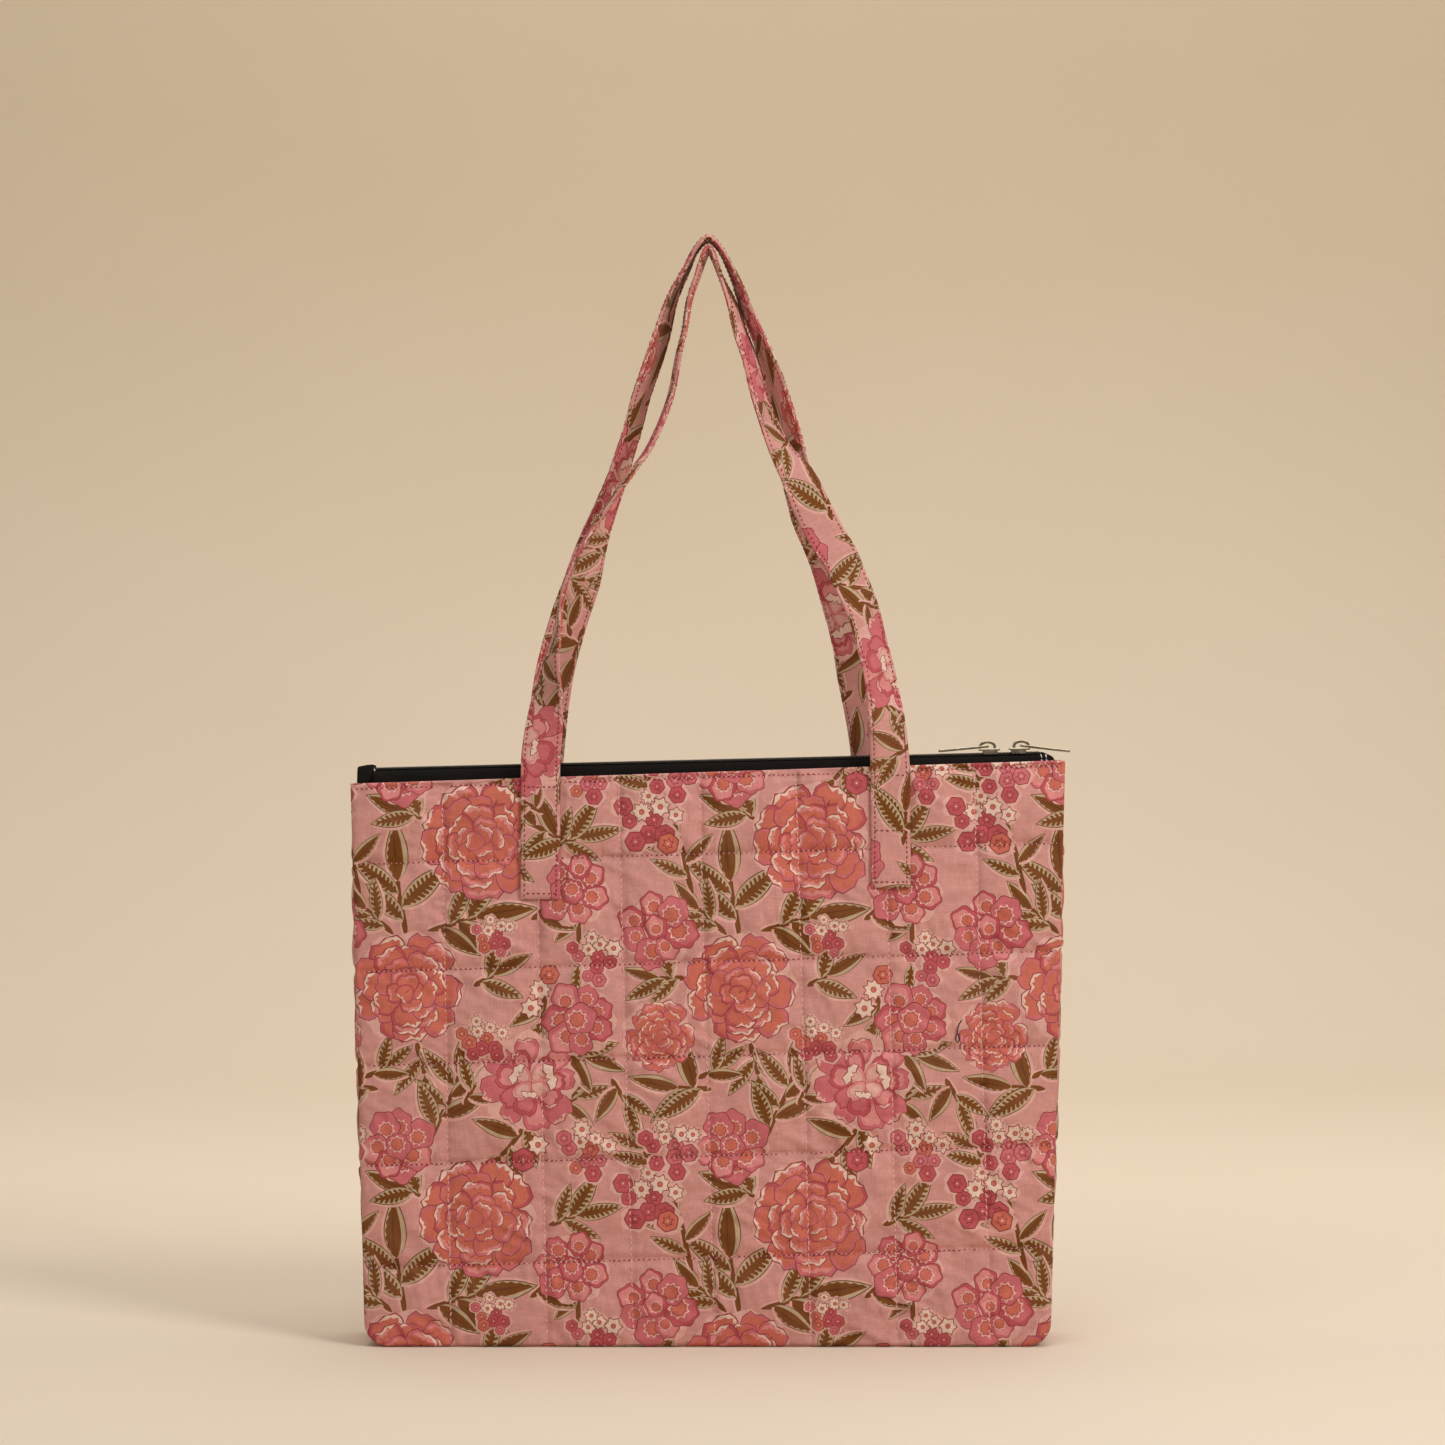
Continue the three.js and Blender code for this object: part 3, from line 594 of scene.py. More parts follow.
def open_edges(triangles):
    """The directed sides that belong to one triangle only."""
    sides = np.concatenate([triangles[:, [0, 1]], triangles[:, [1, 2]], triangles[:, [2, 0]]])
    keys = {tuple(side) for side in sides.tolist()}
    return np.array([side for side in keys if (side[1], side[0]) not in keys])


def normals_of(place, flat, depth=0.0, step=0.0004):
    """Unit normals of a surface given by place(u, v, depth), on the side that shows."""
    move_u, move_v = np.array([step, 0]), np.array([0, step])
    along_u = place(flat + move_u, depth) - place(flat - move_u, depth)
    along_v = place(flat + move_v, depth) - place(flat - move_v, depth)
    normal = np.cross(along_u, along_v)
    return normal / np.maximum(np.linalg.norm(normal, axis=1), 1e-12)[:, None]


def add_object(name, data):
    """An object of the scene from a mesh, a lamp or a camera."""
    made = bpy.data.objects.new(name, data)
    bpy.context.scene.collection.objects.link(made)
    return made


def new_mesh(name, points, faces, material):
    """A smooth object from points and faces, each given as an array or a list."""
    mesh = bpy.data.meshes.new(name)
    face_list = faces.tolist() if isinstance(faces, np.ndarray) else faces
    mesh.from_pydata(np.asarray(points).tolist(), [], face_list)
    mesh.materials.append(material)
    mesh.shade_smooth()
    return add_object(name, mesh)


def write_attribute(mesh, name, kind, domain, values):
    field = "color" if kind == "FLOAT_COLOR" else "vector"
    layer = mesh.attributes.new(name, kind, domain)
    layer.data.foreach_set(field, np.asarray(values, np.float32).ravel())


def close_skin(flat, skin, outline, pitch):
    """The faces that close a skin's back: a coarse inner skin and a wall round the edge."""
    rim = open_edges(skin)
    rim_points = np.unique(rim)
    number = {int(p): k for k, p in enumerate(rim_points)}
    sides = [(number[int(a)], number[int(b)]) for a, b in rim]
    inner_flat = np.concatenate([flat[rim_points], grid_inside(outline, 4 * pitch)])
    result = delaunay_2d_cdt([Vector(p) for p in inner_flat.tolist()], sides, [], 0, 1e-9, False)
    inner = np.array(result[2])
    inner = inner[inside(inner_flat[inner].mean(1), outline)]
    side, other = (inner_flat[inner[:, k]] - inner_flat[inner[:, 0]] for k in (1, 2))
    anticlockwise = side[:, 0] * other[:, 1] > side[:, 1] * other[:, 0]
    inner[anticlockwise] = inner[anticlockwise][:, ::-1]
    first = len(flat)
    walls = []
    for (a, b), (inner_a, inner_b) in zip(rim, sides):
        walls += [(b, a, first + inner_a), (b, first + inner_a, first + inner_b)]
    return inner_flat, np.concatenate([np.array(walls), inner + first])


def paint_cloth(piece, inks, flat):
    """Gives each face its ink, and each corner its place on the flat cloth."""
    colours = np.array(list(INKS.values()))
    write_attribute(piece.data, "ink", "FLOAT_COLOR", "FACE", colours[inks])
    write_attribute(piece.data, "cloth", "FLOAT_VECTOR", "POINT", np.c_[flat, np.zeros(len(flat))])


def padded_piece(name, shape, pitch, turn):
    """A printed, padded piece: its printed skin, an inner skin and the edge between them."""
    outline = shape.outline()
    flat, skin, inks = cut_cloth(outline, pitch, PRINT_MOVES[name], turn)
    inner_flat, backing = close_skin(flat, skin, even_outline(outline, pitch), pitch)
    points = np.concatenate([shape.place(flat, 0.0), shape.place(inner_flat, PANEL_THICKNESS)])
    piece = new_mesh(name, points, np.concatenate([skin, backing]), MATERIALS["printed_cotton"])
    all_inks = np.concatenate([inks, np.zeros(len(backing), int)])
    paint_cloth(piece, all_inks, np.concatenate([flat, inner_flat]))
    normals = np.zeros((len(points), 3))
    normals[:len(flat)] = normals_of(shape.place, flat)
    piece.data.normals_split_custom_set_from_vertices(normals.tolist())
    return piece


# ---------------------------------------------------------------- outline of the bag


def hem_height(x):
    return HEM_HEIGHT + HEM_SLOPE * x


def half_depth(z):
    return BASE_HALF_DEPTH + (TOP_HALF_DEPTH - BASE_HALF_DEPTH) * z / HEM_HEIGHT


def half_width(z):
    """Half the width of a face at a height, with the lower corners rounded."""
    straight = BASE_HALF_WIDTH + (TOP_HALF_WIDTH - BASE_HALF_WIDTH) * (z - CORNER_RADIUS) / (
        HEM_HEIGHT - CORNER_RADIUS)
    rise = np.clip(CORNER_RADIUS - z, 0, CORNER_RADIUS)
    rounded = BASE_HALF_WIDTH - CORNER_RADIUS + np.sqrt(CORNER_RADIUS ** 2 - rise ** 2)
    return np.where(z > CORNER_RADIUS, straight, rounded)


def roll(distance, radius):
    """How far a surface falls back within a rounded edge of that radius."""
    gap = 1 - np.clip(distance / radius, 0, 1)
    return radius * (1 - np.sqrt(np.clip(1 - gap ** 2, 0, 1)))


def cubic(table, i, j):
    """Smooth values of a table between its rows and columns."""
    def weights(t):
        return np.stack([-t + 2 * t ** 2 - t ** 3, 2 - 5 * t ** 2 + 3 * t ** 3,
                         t + 4 * t ** 2 - 3 * t ** 3, -t ** 2 + t ** 3]) / 2
    row = np.clip(np.floor(i).astype(int), 0, table.shape[0] - 2)
    column = np.clip(np.floor(j).astype(int), 0, table.shape[1] - 2)
    by_row, by_column = weights(i - row), weights(j - column)
    total = np.zeros(len(i))
    for a in range(4):
        for b in range(4):
            r = np.clip(row + a - 1, 0, table.shape[0] - 1)
            c = np.clip(column + b - 1, 0, table.shape[1] - 1)
            total += by_row[a] * by_column[b] * table[r, c]
    return total


def waves(along, seed, shortest, longest, count=7):
    """A smooth uneven line: a sum of sine waves between two lengths, about -1 to 1."""
    rng = random.Random(seed)
    total = np.zeros_like(along)
    for _ in range(count):
        length = rng.uniform(shortest, longest)
        total += np.sin(2 * PI * (along / length + rng.random())) / math.sqrt(count)
    return total


# ---------------------------------------------------------------- quilting of the faces

CELL_STEPS = 12             # simulated squares across one quilted square
COLUMN_COUNT = len(QUILT_COLUMNS) + 1
ROW_COUNT = len(QUILT_ROWS) + 1
PILLOW_HALF_GAP = 0.012     # between the two simulated sheets and the middle
PUFF_FRAMES = 16
CREASE_TURNS = (0.25, 1.1, 1.75, 2.8)       # the ways the soft creases run
CLOTH_SETTINGS = {
    "vertex_group_mass": "held", "quality": 4, "mass": 0.15, "tension_stiffness": 8,
    "compression_stiffness": 8, "shear_stiffness": 3, "bending_stiffness": 0.08, "shrink_min": -0.02,
    "use_pressure": True, "uniform_pressure_force": 5,
}


def quilt_column(k, z):
    """The x of a vertical line of quilting; the first and last are the panel's edges."""
    if k in (0, COLUMN_COUNT):
        return half_width(z) * (-1 if k == 0 else 1)
    return QUILT_COLUMNS[k - 1] + QUILT_DRIFT[k - 1] * (1 - z / HEM_HEIGHT)


def quilt_row(k, x):
    """The z of a level line of quilting; the first and last are the base and the hem."""
    if k == 0:
        return 0 * x
    if k == ROW_COUNT:
        return hem_height(x)
    return QUILT_ROWS[k - 1] + QUILT_ROW_SLOPE * x


def share_between(value, stops):
    """A value's place in rising stops, counted in whole stops and shares."""
    place = np.zeros_like(value)
    for low, high in zip(stops[:-1], stops[1:]):
        place += np.clip((value - low) / (high - low), 0, 1)
    return place


def quilt_place(x, z):
    """Where a point lies among the quilted squares: columns across and rows up."""
    columns = [quilt_column(k, z) for k in range(COLUMN_COUNT + 1)]
    rows = [quilt_row(k, x) for k in range(ROW_COUNT + 1)]
    return share_between(x, columns), share_between(z, rows)


def lattice_steps():
    """Where the simulated sheet's points lie, counted in quilted columns and rows."""
    return [np.arange(count * CELL_STEPS + 1) / CELL_STEPS for count in (COLUMN_COUNT, ROW_COUNT)]


def lattice_points():
    """The simulated sheet's points: x and z tables over the quilted squares."""
    across, up = lattice_steps()
    x, z = np.zeros((len(across), len(up))), np.zeros((len(across), len(up)))
    for _ in range(6):                      # the two depend on each other, and settle quickly
        for i, a in enumerate(across):
            k = min(int(a), COLUMN_COUNT - 1)
            x[i] = quilt_column(k, z[i]) * (1 - a + k) + quilt_column(k + 1, z[i]) * (a - k)
        for j, b in enumerate(up):
            k = min(int(b), ROW_COUNT - 1)
            z[:, j] = quilt_row(k, x[:, j]) * (1 - b + k) + quilt_row(k + 1, x[:, j]) * (b - k)
    return x, z


def pillow(x, z):
    """Both faces' sheets joined round their edge, as the cloth that the wadding swells."""
    number = np.arange(x.size).reshape(x.shape)
    uneven = np.random.default_rng(5).normal(0, 0.00025, x.shape)
    front, back = (np.stack([x, side * PILLOW_HALF_GAP + uneven, z], 2).reshape(-1, 3) for side in (-1, 1))
    quads = np.stack([number[:-1, :-1], number[1:, :-1], number[1:, 1:], number[:-1, 1:]], 2).reshape(-1, 4)
    rim = np.concatenate([number[:, 0], number[-1, 1:], number[::-1, -1][1:], number[0, ::-1][1:-1]])
    after = np.roll(rim, -1)
    sides = np.stack([rim + x.size, after + x.size, after, rim], 1)
    faces = np.concatenate([quads, quads[:, ::-1] + x.size, sides])
    return np.concatenate([front, back]), faces, number


def simulate_puff():
    """Lifts of both faces' cloth between the stitch lines, as tables over the quilted squares."""
    x, z = lattice_points()
    points, faces, number = pillow(x, z)
    sheet = new_mesh("puff_source", points, faces, MATERIALS["printed_cotton"])
    on_line = np.zeros(x.shape, bool)
    on_line[::CELL_STEPS] = True
    on_line[:, ::CELL_STEPS] = True
    held = np.concatenate([number[on_line], number[on_line] + x.size])
    sheet.vertex_groups.new(name="held").add(held.tolist(), 1.0, "REPLACE")
    settings = sheet.modifiers.new("cloth", "CLOTH").settings
    for key, value in CLOTH_SETTINGS.items():
        setattr(settings, key, value)
    settings.effector_weights.gravity = 0
    scene = bpy.context.scene
    for number_of_frame in range(1, PUFF_FRAMES + 1):
        scene.frame_set(number_of_frame)
    moved = sheet.evaluated_get(bpy.context.evaluated_depsgraph_get()).to_mesh()
    swollen = np.empty(len(moved.vertices) * 3, np.float32)
    moved.vertices.foreach_get("co", swollen)
    lift = (swollen.reshape(-1, 3) - points)[:, 1].reshape(2, *x.shape)
    scene.frame_set(1)
    bpy.data.objects.remove(sheet)
    return -lift[0], lift[1][::-1]


def creases(x, z):
    """Soft creases of worn cloth: shallow waves that run a few ways and come and go."""
    lift = np.zeros_like(x)
    for k, turn in enumerate(CREASE_TURNS):
        along = x * math.cos(turn) + z * math.sin(turn)
        across = z * math.cos(turn) - x * math.sin(turn)
        patch = np.clip(waves(across + 0.3 * along, 520 + k, 0.03, 0.11), 0, 1)
        lift += CREASE * patch * waves(along, 540 + k, 0.006, 0.024)
    return lift


def seam_relief(away, along, seed):
    """A channel along a line of stitches, with short puckers that run square to it."""
    channel = -CHANNEL_DEPTH * np.exp(-(away / CHANNEL_WIDTH) ** 2)
    pucker = waves(along, seed, 0.0042, 0.011) * np.exp(-np.abs(away) / PUCKER_REACH)
    draw = waves(along + away * 0.7, seed + 50, 0.012, 0.03) * np.exp(-np.abs(away) / DRAW_REACH)
    return channel + PUCKER * pucker + DRAW * draw


def strap_press(x, z, centres):
    """How far the sewn strap ends flatten the padding under them, from 0 to 1."""
    pressed = np.zeros_like(x)
    for centre in centres:
        away = np.abs(x - centre) / (STRAP_WIDTH / 2)
        across = np.clip(PRESS_REACH - away, 0, PRESS_FADE) / PRESS_FADE
        top = hem_height(centre) - STRAP_STITCH_DROP
        up = np.clip((z - top + STRAP_END_LENGTH + PRESS_BELOW) / PRESS_BELOW, 0, 1)
        pressed = np.maximum(pressed, across * up)
    return pressed


class Face:
    """The front (side -1) or back (side 1) panel. Flat cloth runs to the right, seen from outside."""

    def __init__(self, side, puff, strap_centres):
        self.side, self.puff, self.strap_centres = side, puff, strap_centres

    def relief(self, x, z):
        """How far the cloth stands off its plain surface: puffs, sewn channels, puckers and creases."""
        columns, rows = quilt_place(x, z)
        lift = cubic(self.puff, columns * CELL_STEPS, rows * CELL_STEPS)
        lift = PUFF_LIMIT * np.tanh(lift * PUFF_SHARE / PUFF_LIMIT)
        for k in range(1, COLUMN_COUNT):
            lift += seam_relief(x - quilt_column(k, z), z, 100 + k)
        for k in range(1, ROW_COUNT):
            lift += seam_relief(z - quilt_row(k, x), x, 200 + k)
        lift += seam_relief(hem_height(x) - HEM_STITCH - z, x, 300)
        lift += creases(x, z)
        return lift * (1 - strap_press(x, z, self.strap_centres))

    def base_y(self, x, z):
        """The unquilted surface's distance in front of the bag's middle."""
        across = np.clip(x / half_width(z), -1, 1)
        up = np.clip(z / hem_height(x), 0, 1)
        return half_depth(z) + FACE_BELLY * np.cos(across * PI / 2) * np.sin(up * PI)

    def place(self, flat, depth):
        x, z = -self.side * flat[:, 0], flat[:, 1]
        past, rise = np.abs(x) - BASE_HALF_WIDTH + CORNER_RADIUS, CORNER_RADIUS - z
        from_corner = CORNER_RADIUS - np.hypot(np.maximum(past, 0), np.maximum(rise, 0))
        edge = np.where((rise > 0) & (past > 0), from_corner, np.minimum(half_width(z) - np.abs(x), z))
        hem = hem_height(x) - z
        y = self.base_y(x, z) - roll(edge, EDGE_ROLL) - roll(hem, HEM_ROLL)
        fade = np.clip(edge / EDGE_FADE, 0, 1) * np.clip(hem / HEM_FADE, 0, 1)
        y += self.relief(x, z) * fade - depth
        return np.stack([x, self.side * y, z], 1)

    def outline(self):
        """The panel's edge on the flat cloth, anticlockwise."""
        turn = np.linspace(0, PI / 2, 9)
        middle = BASE_HALF_WIDTH - CORNER_RADIUS
        right = np.stack([middle + CORNER_RADIUS * np.sin(turn), CORNER_RADIUS * (1 - np.cos(turn))], 1)
        left = right[::-1] * np.array([-1, 1])
        lean = -self.side * HEM_SLOPE * TOP_HALF_WIDTH
        top = np.array([[TOP_HALF_WIDTH, HEM_HEIGHT + lean], [-TOP_HALF_WIDTH, HEM_HEIGHT - lean]])
        return np.concatenate([right, top, left])


# ---------------------------------------------------------------- side and base strips

CORNER_LENGTH = CORNER_RADIUS * PI / 2
SEAM_DEPTH = 0.0033         # how far a strip's edge lies behind a face's surface
SEAM_ROLL = 0.0016          # radius of a strip's rolled edge
SLACK = 0.0005              # height of the waves in the side cloth
SLACK_FADE = 0.006          # they die away this near a seam
CORNER_GAP = 0.0001         # from a side strip's end to the corner's end
BASE_GAP = 0.0003           # from the base strip's end to the corner's end


def side_length(sign):
    """From the hem down to the corner, on the left (-1) or the right (1)."""
    return HEM_HEIGHT - CORNER_RADIUS + sign * HEM_SLOPE * TOP_HALF_WIDTH


def rim_at(along, sign):
    """The faces' rim at a distance down from the hem: its x and z, its inward direction, and the share
    of the straight side that is passed. Beyond the corner the rim runs along the base."""
    length = side_length(sign)
    side = np.clip(along / length, None, 1)
    bend = np.clip((along - length) / CORNER_LENGTH, 0, 1) * PI / 2
    base = np.clip(along - length - CORNER_LENGTH, 0, None)
    lean = math.atan((TOP_HALF_WIDTH - BASE_HALF_WIDTH) / length)
    top = HEM_HEIGHT + sign * HEM_SLOPE * TOP_HALF_WIDTH
    x = TOP_HALF_WIDTH + (BASE_HALF_WIDTH - TOP_HALF_WIDTH) * side - CORNER_RADIUS * (1 - np.cos(bend)) - base
    z = top + (CORNER_RADIUS - top) * side - CORNER_RADIUS * np.sin(bend)
    inward = np.stack([-np.cos(bend + lean * (bend == 0)), np.sin(bend)], 1)
    return sign * x, z, inward * np.array([sign, 1]), np.clip(side, 0, 1)


class Strip:
    """The cloth between the faces on one side, from the hem down and round the corner."""

    def __init__(self, sign):
        self.sign = sign

    def place(self, flat, depth):
        along, across = flat[:, 0], flat[:, 1]
        x, z, inward, side = rim_at(along, self.sign)
        reach = half_depth(z) - SEAM_DEPTH
        seam = reach - np.abs(across)
        on_side = side < 1
        swell = SIDE_BELLY * np.sin(side * PI) * (1 - (across / reach) ** 2)
        swell -= roll(seam, SEAM_ROLL) + roll(along, HEM_ROLL)
        for k in range(1, ROW_COUNT):
            row = quilt_row(k, self.sign * TOP_HALF_WIDTH)
            swell += seam_relief(z - row, across, 399 + k) * on_side * np.clip(seam / EDGE_FADE, 0, 1)
        swell += SLACK * waves(along + across, 77, 0.02, 0.06) * np.clip(seam / SLACK_FADE, 0, 1) * on_side
        move = (depth - swell)[:, None] * inward
        return np.stack([x + move[:, 0], self.sign * across, z + move[:, 1]], 1)

    def outline(self):
        stops = np.linspace(0, side_length(self.sign) + CORNER_LENGTH - CORNER_GAP, 60)
        reach = half_depth(rim_at(stops, self.sign)[1]) - SEAM_DEPTH
        return np.concatenate([np.stack([stops, -reach], 1), np.stack([stops, reach], 1)[::-1]])


class Base:
    """The strip under the bag, between the two corners. Flat cloth runs to the right, seen from below."""

    half = BASE_HALF_WIDTH - CORNER_RADIUS - BASE_GAP
    reach = BASE_HALF_DEPTH - SEAM_DEPTH

    def place(self, flat, depth):
        x, across = flat[:, 0], flat[:, 1]
        z = roll(self.reach - np.abs(across), SEAM_ROLL) + depth
        return np.stack([x, -across, z], 1)

    def outline(self):
        return np.array([[-1, -1], [1, -1], [1, 1], [-1, 1]]) * (self.half, self.reach)


# ---------------------------------------------------------------- straps

# Each free loop from its left sewn end over the top to its right one: x, y and z in millimetres on
# the strap's middle line, and how far its face has turned from the panel (0) to edge-on (1).
FRONT_LOOP = (
    (-91, -15.5, 318, 0.02), (-89.5, -15.2, 333, 0.15), (-87.5, -15, 348, 0.36),
    (-85, -14.8, 371, 0.74), (-81.5, -14.4, 394, 0.92), (-77, -14, 416, 0.97), (-70, -13.8, 432, 0.95),
    (-60.5, -13.6, 448, 0.93), (-49.5, -13.2, 463, 0.93), (-40.5, -12, 475, 0.93), (-32, -9.2, 487, 0.93),
    (-23.5, -6.5, 507, 0.94), (-17.2, -4.6, 528, 0.95), (-14, -3, 548, 0.95), (-10.6, -1.5, 570, 0.96),
    (-6.4, -0.6, 585, 0.98), (-2.9, -0.1, 593.5, 1), (0.2, 0, 598, 1), (3.3, 0, 593.5, 1),
    (6.6, -0.4, 585, 0.97), (12.2, -1.5, 570, 0.88), (19.4, -3, 548, 0.78), (25, -4.6, 528, 0.75),
    (31.8, -6.2, 507, 0.72), (40.4, -8.2, 486, 0.6), (50.2, -9.8, 470, 0.3), (57.6, -10.8, 454, 0.16),
    (65.4, -11.6, 439, 0.16), (74, -12.4, 424, 0.22), (86, -13.6, 394, 0.38), (93.8, -14.6, 363, 0.4),
    (98, -15.2, 333, 0.18),
)
BACK_LOOP = (
    (-90.5, 15.5, 318, 0.02), (-87.5, 15, 348, 0.08), (-83.5, 14.2, 371, 0.12),
    (-77, 13.2, 394, 0.16), (-69.6, 12.2, 416, 0.26), (-62.8, 11.2, 439, 0.52), (-57, 10.6, 454, 0.64),
    (-51.4, 10, 470, 0.7), (-45.4, 7.6, 487, 0.74), (-39.6, 5.8, 507, 0.75), (-33, 4.2, 528, 0.75),
    (-26.8, 3, 548, 0.76), (-18.8, 1.5, 570, 0.88), (-12.4, 0.6, 586, 0.96), (-6.8, 0.1, 597, 1),
    (0.3, 0, 603, 1), (7.2, 0, 597, 1), (12.8, 0.4, 586, 0.96), (19.6, 1.5, 570, 0.88),
    (28.8, 3, 548, 0.84), (35, 4.4, 528, 0.68), (41.8, 6.4, 507, 0.62), (46.4, 8.2, 487, 0.55),
    (49.4, 9.2, 470, 0.46), (54, 10, 454, 0.42), (60.4, 10.8, 439, 0.38), (66.2, 11.6, 424, 0.34),
    (75.6, 12.8, 394, 0.28), (82, 14, 363, 0.2), (88, 15, 333, 0.08),
)
LOOPS = {"front": FRONT_LOOP, "back": BACK_LOOP}
STEPS_PER_STOP = 10
ROW_PRESS = 0.34            # share of its thickness that a stitched row takes from a strap
STRAP_CROWN = 0.08          # share that its middle gains
STRAP_PUCKER = 0.12         # share by which its rows pucker
END_ROUND = 0.0012          # length over which its ends close
FREE_FADE = (0.006, 0.03)   # past a sewn end: where the cloth comes free, and over what length
STRAP_CURL = 0.0009         # how far its edges curl
STRAP_WAVE = 0.0004         # and how far it waves


def smooth_through(stops):
    """Points on a smooth curve through the stops."""
    padded = np.concatenate([[2 * stops[0] - stops[1]], stops, [2 * stops[-1] - stops[-2]]])
    t = np.linspace(0, 1, STEPS_PER_STOP, endpoint=False)[:, None]
    rows = []
    for k in range(len(stops) - 1):
        a, b, c, d = padded[k:k + 4]
        rows.append((2 * b + (c - a) * t + (2 * a - 5 * b + 4 * c - d) * t ** 2
                     + (3 * b - a - 3 * c + d) * t ** 3) / 2)
    return np.concatenate([*rows, stops[-1:]])


class Strap:
    """One strap from its left sewn end, over its loop, to its right one, as a flat tube of cloth."""

    flat_part = STRAP_WIDTH - STRAP_THICKNESS
    edge_radius = STRAP_THICKNESS / 2
    girth = 2 * flat_part + PI * STRAP_THICKNESS
    outer_middle = PI * edge_radius / 2 + flat_part / 2      # of the face that shows, round the tube
    row_reach = STRAP_WIDTH / 2 - STRAP_ROW

    def __init__(self, name, face):
        self.side = face.side
        left, right = STRAP_CENTRES[name]
        loop = np.array(LOOPS[name]) * np.array([MM, MM, MM, 1])
        self.route = smooth_through(
            np.concatenate([self.sewn_stops(left, face), loop, self.sewn_stops(right, face)[::-1]]))
        steps = np.linalg.norm(np.diff(self.route[:, :3], axis=0), axis=1)
        self.along = np.concatenate([[0], np.cumsum(steps)])
        self.length = float(self.along[-1])
        self.set_frames()

    def sewn_stops(self, centre, face):
        """The route where an end lies on its panel."""
        top = hem_height(centre) - STRAP_STITCH_DROP
        z = np.linspace(top - STRAP_END_LENGTH, top, 8)
        x = np.full_like(z, centre)
        y = face.base_y(x, z) + STRAP_REST + STRAP_THICKNESS / 2
        return np.stack([x, self.side * y, z, 0 * z], 1)

    def set_frames(self):
        """The strap's width and normal directions at each point of its route."""
        centre = self.route[:, :3]
        along = np.gradient(centre, axis=0)
        along /= np.linalg.norm(along, axis=1)[:, None]
        turn = np.clip(self.route[:, 3], 0, 1)[:, None] * PI / 2
        outward = np.stack([-along[:, 2], 0 * along[:, 0], along[:, 0]], 1)
        outward /= np.linalg.norm(outward, axis=1)[:, None]
        normal = np.cos(turn) * np.array([0, self.side, 0]) + np.sin(turn) * outward
        normal -= along * (normal * along).sum(1)[:, None]
        self.normal = normal / np.linalg.norm(normal, axis=1)[:, None]
        self.width = np.cross(self.normal, along)

    def look_up(self, table, s):
        return np.stack([np.interp(s, self.along, table[:, k]) for k in range(table.shape[1])], 1)

    def section(self, p):
        """Across and through the strap, at a distance round its flat tube from its left edge."""
        r, f = self.edge_radius, self.flat_part
        stops = np.cumsum([PI * r / 2, f, PI * r, f])
        bends = [PI / 2 + p / r, (p - stops[0]), (p - stops[1]) / r, (p - stops[2]), (p - stops[3]) / r]
        parts = [p < stops[0], p < stops[1], p < stops[2], p < stops[3], p >= stops[3]]
        across = np.select(parts, [-f / 2 - r * np.sin(bends[0]), -f / 2 + bends[1],
                                   f / 2 + r * np.sin(bends[2]), f / 2 - bends[3],
                                   -f / 2 - r * np.sin(bends[4])])
        through = np.select(parts, [-r * np.cos(bends[0]), r + 0 * p, r * np.cos(bends[2]),
                                    -r + 0 * p, -r * np.cos(bends[4])])
        return across, through

    def place(self, flat, depth=0.0):
        """The tube's surface at distances along the strap and round it; it has no other depth."""
        s, p = flat[:, 0], flat[:, 1]
        across, through = self.section(p)
        row = np.abs(across) - self.row_reach
        pressed = ROW_PRESS * np.exp(-(row / 0.0008) ** 2)
        through = through * (1 - pressed + STRAP_CROWN * np.cos(PI * across / STRAP_WIDTH))
        through *= 1 + STRAP_PUCKER * waves(s, 31, 0.004, 0.012) * np.exp(-np.abs(row) / 0.003)
        from_end = np.minimum(s, self.length - s)
        through *= np.sqrt(np.clip(1 - (1 - np.clip(from_end / END_ROUND, 0, 1)) ** 2, 0.0004, 1))
        free = np.clip((from_end - STRAP_END_LENGTH - FREE_FADE[0]) / FREE_FADE[1], 0, 1)
        curl = STRAP_CURL * waves(s, 37 + self.side, 0.09, 0.22) * free
        wave = STRAP_WAVE * waves(s, 41 + self.side, 0.03, 0.07) * free
        bow = curl * (1 - 4 * (across / STRAP_WIDTH) ** 2) + wave
        centre = self.look_up(self.route[:, :3], np.clip(s, 0, self.length))
        width = self.look_up(self.width, s)
        normal = self.look_up(self.normal, s)
        return centre + width * across[:, None] + normal * (through + bow)[:, None]

    def row_lines(self):
        """The rows of stitching near both edges, on both faces, as lines on the flat cloth."""
        s = np.linspace(END_ROUND, self.length - END_ROUND, 240)
        inner_middle = self.outer_middle + self.flat_part + PI * self.edge_radius
        return [np.stack([s, np.full_like(s, middle + sign * self.row_reach)], 1)
                for middle in (self.outer_middle, inner_middle) for sign in (-1, 1)]

    def cross_line(self, s):
        """A row of stitching straight across the outer face."""
        p = np.linspace(self.outer_middle - self.row_reach, self.outer_middle + self.row_reach, 12)
        return np.stack([np.full_like(p, s), p], 1)

    def outline(self):
        return np.array([[0, 0], [self.length, 0], [self.length, self.girth], [0, self.girth]])


def strap_cloth(name, strap):
    """The strap's cloth: a tube of print along its whole route."""
    flat, skin, inks = cut_cloth(strap.outline(), STRAP_GRID, PRINT_MOVES[name])
    piece = new_mesh(name, strap.place(flat), skin, MATERIALS["printed_cotton"])
    paint_cloth(piece, inks, flat)
    return piece


# ---------------------------------------------------------------- thread

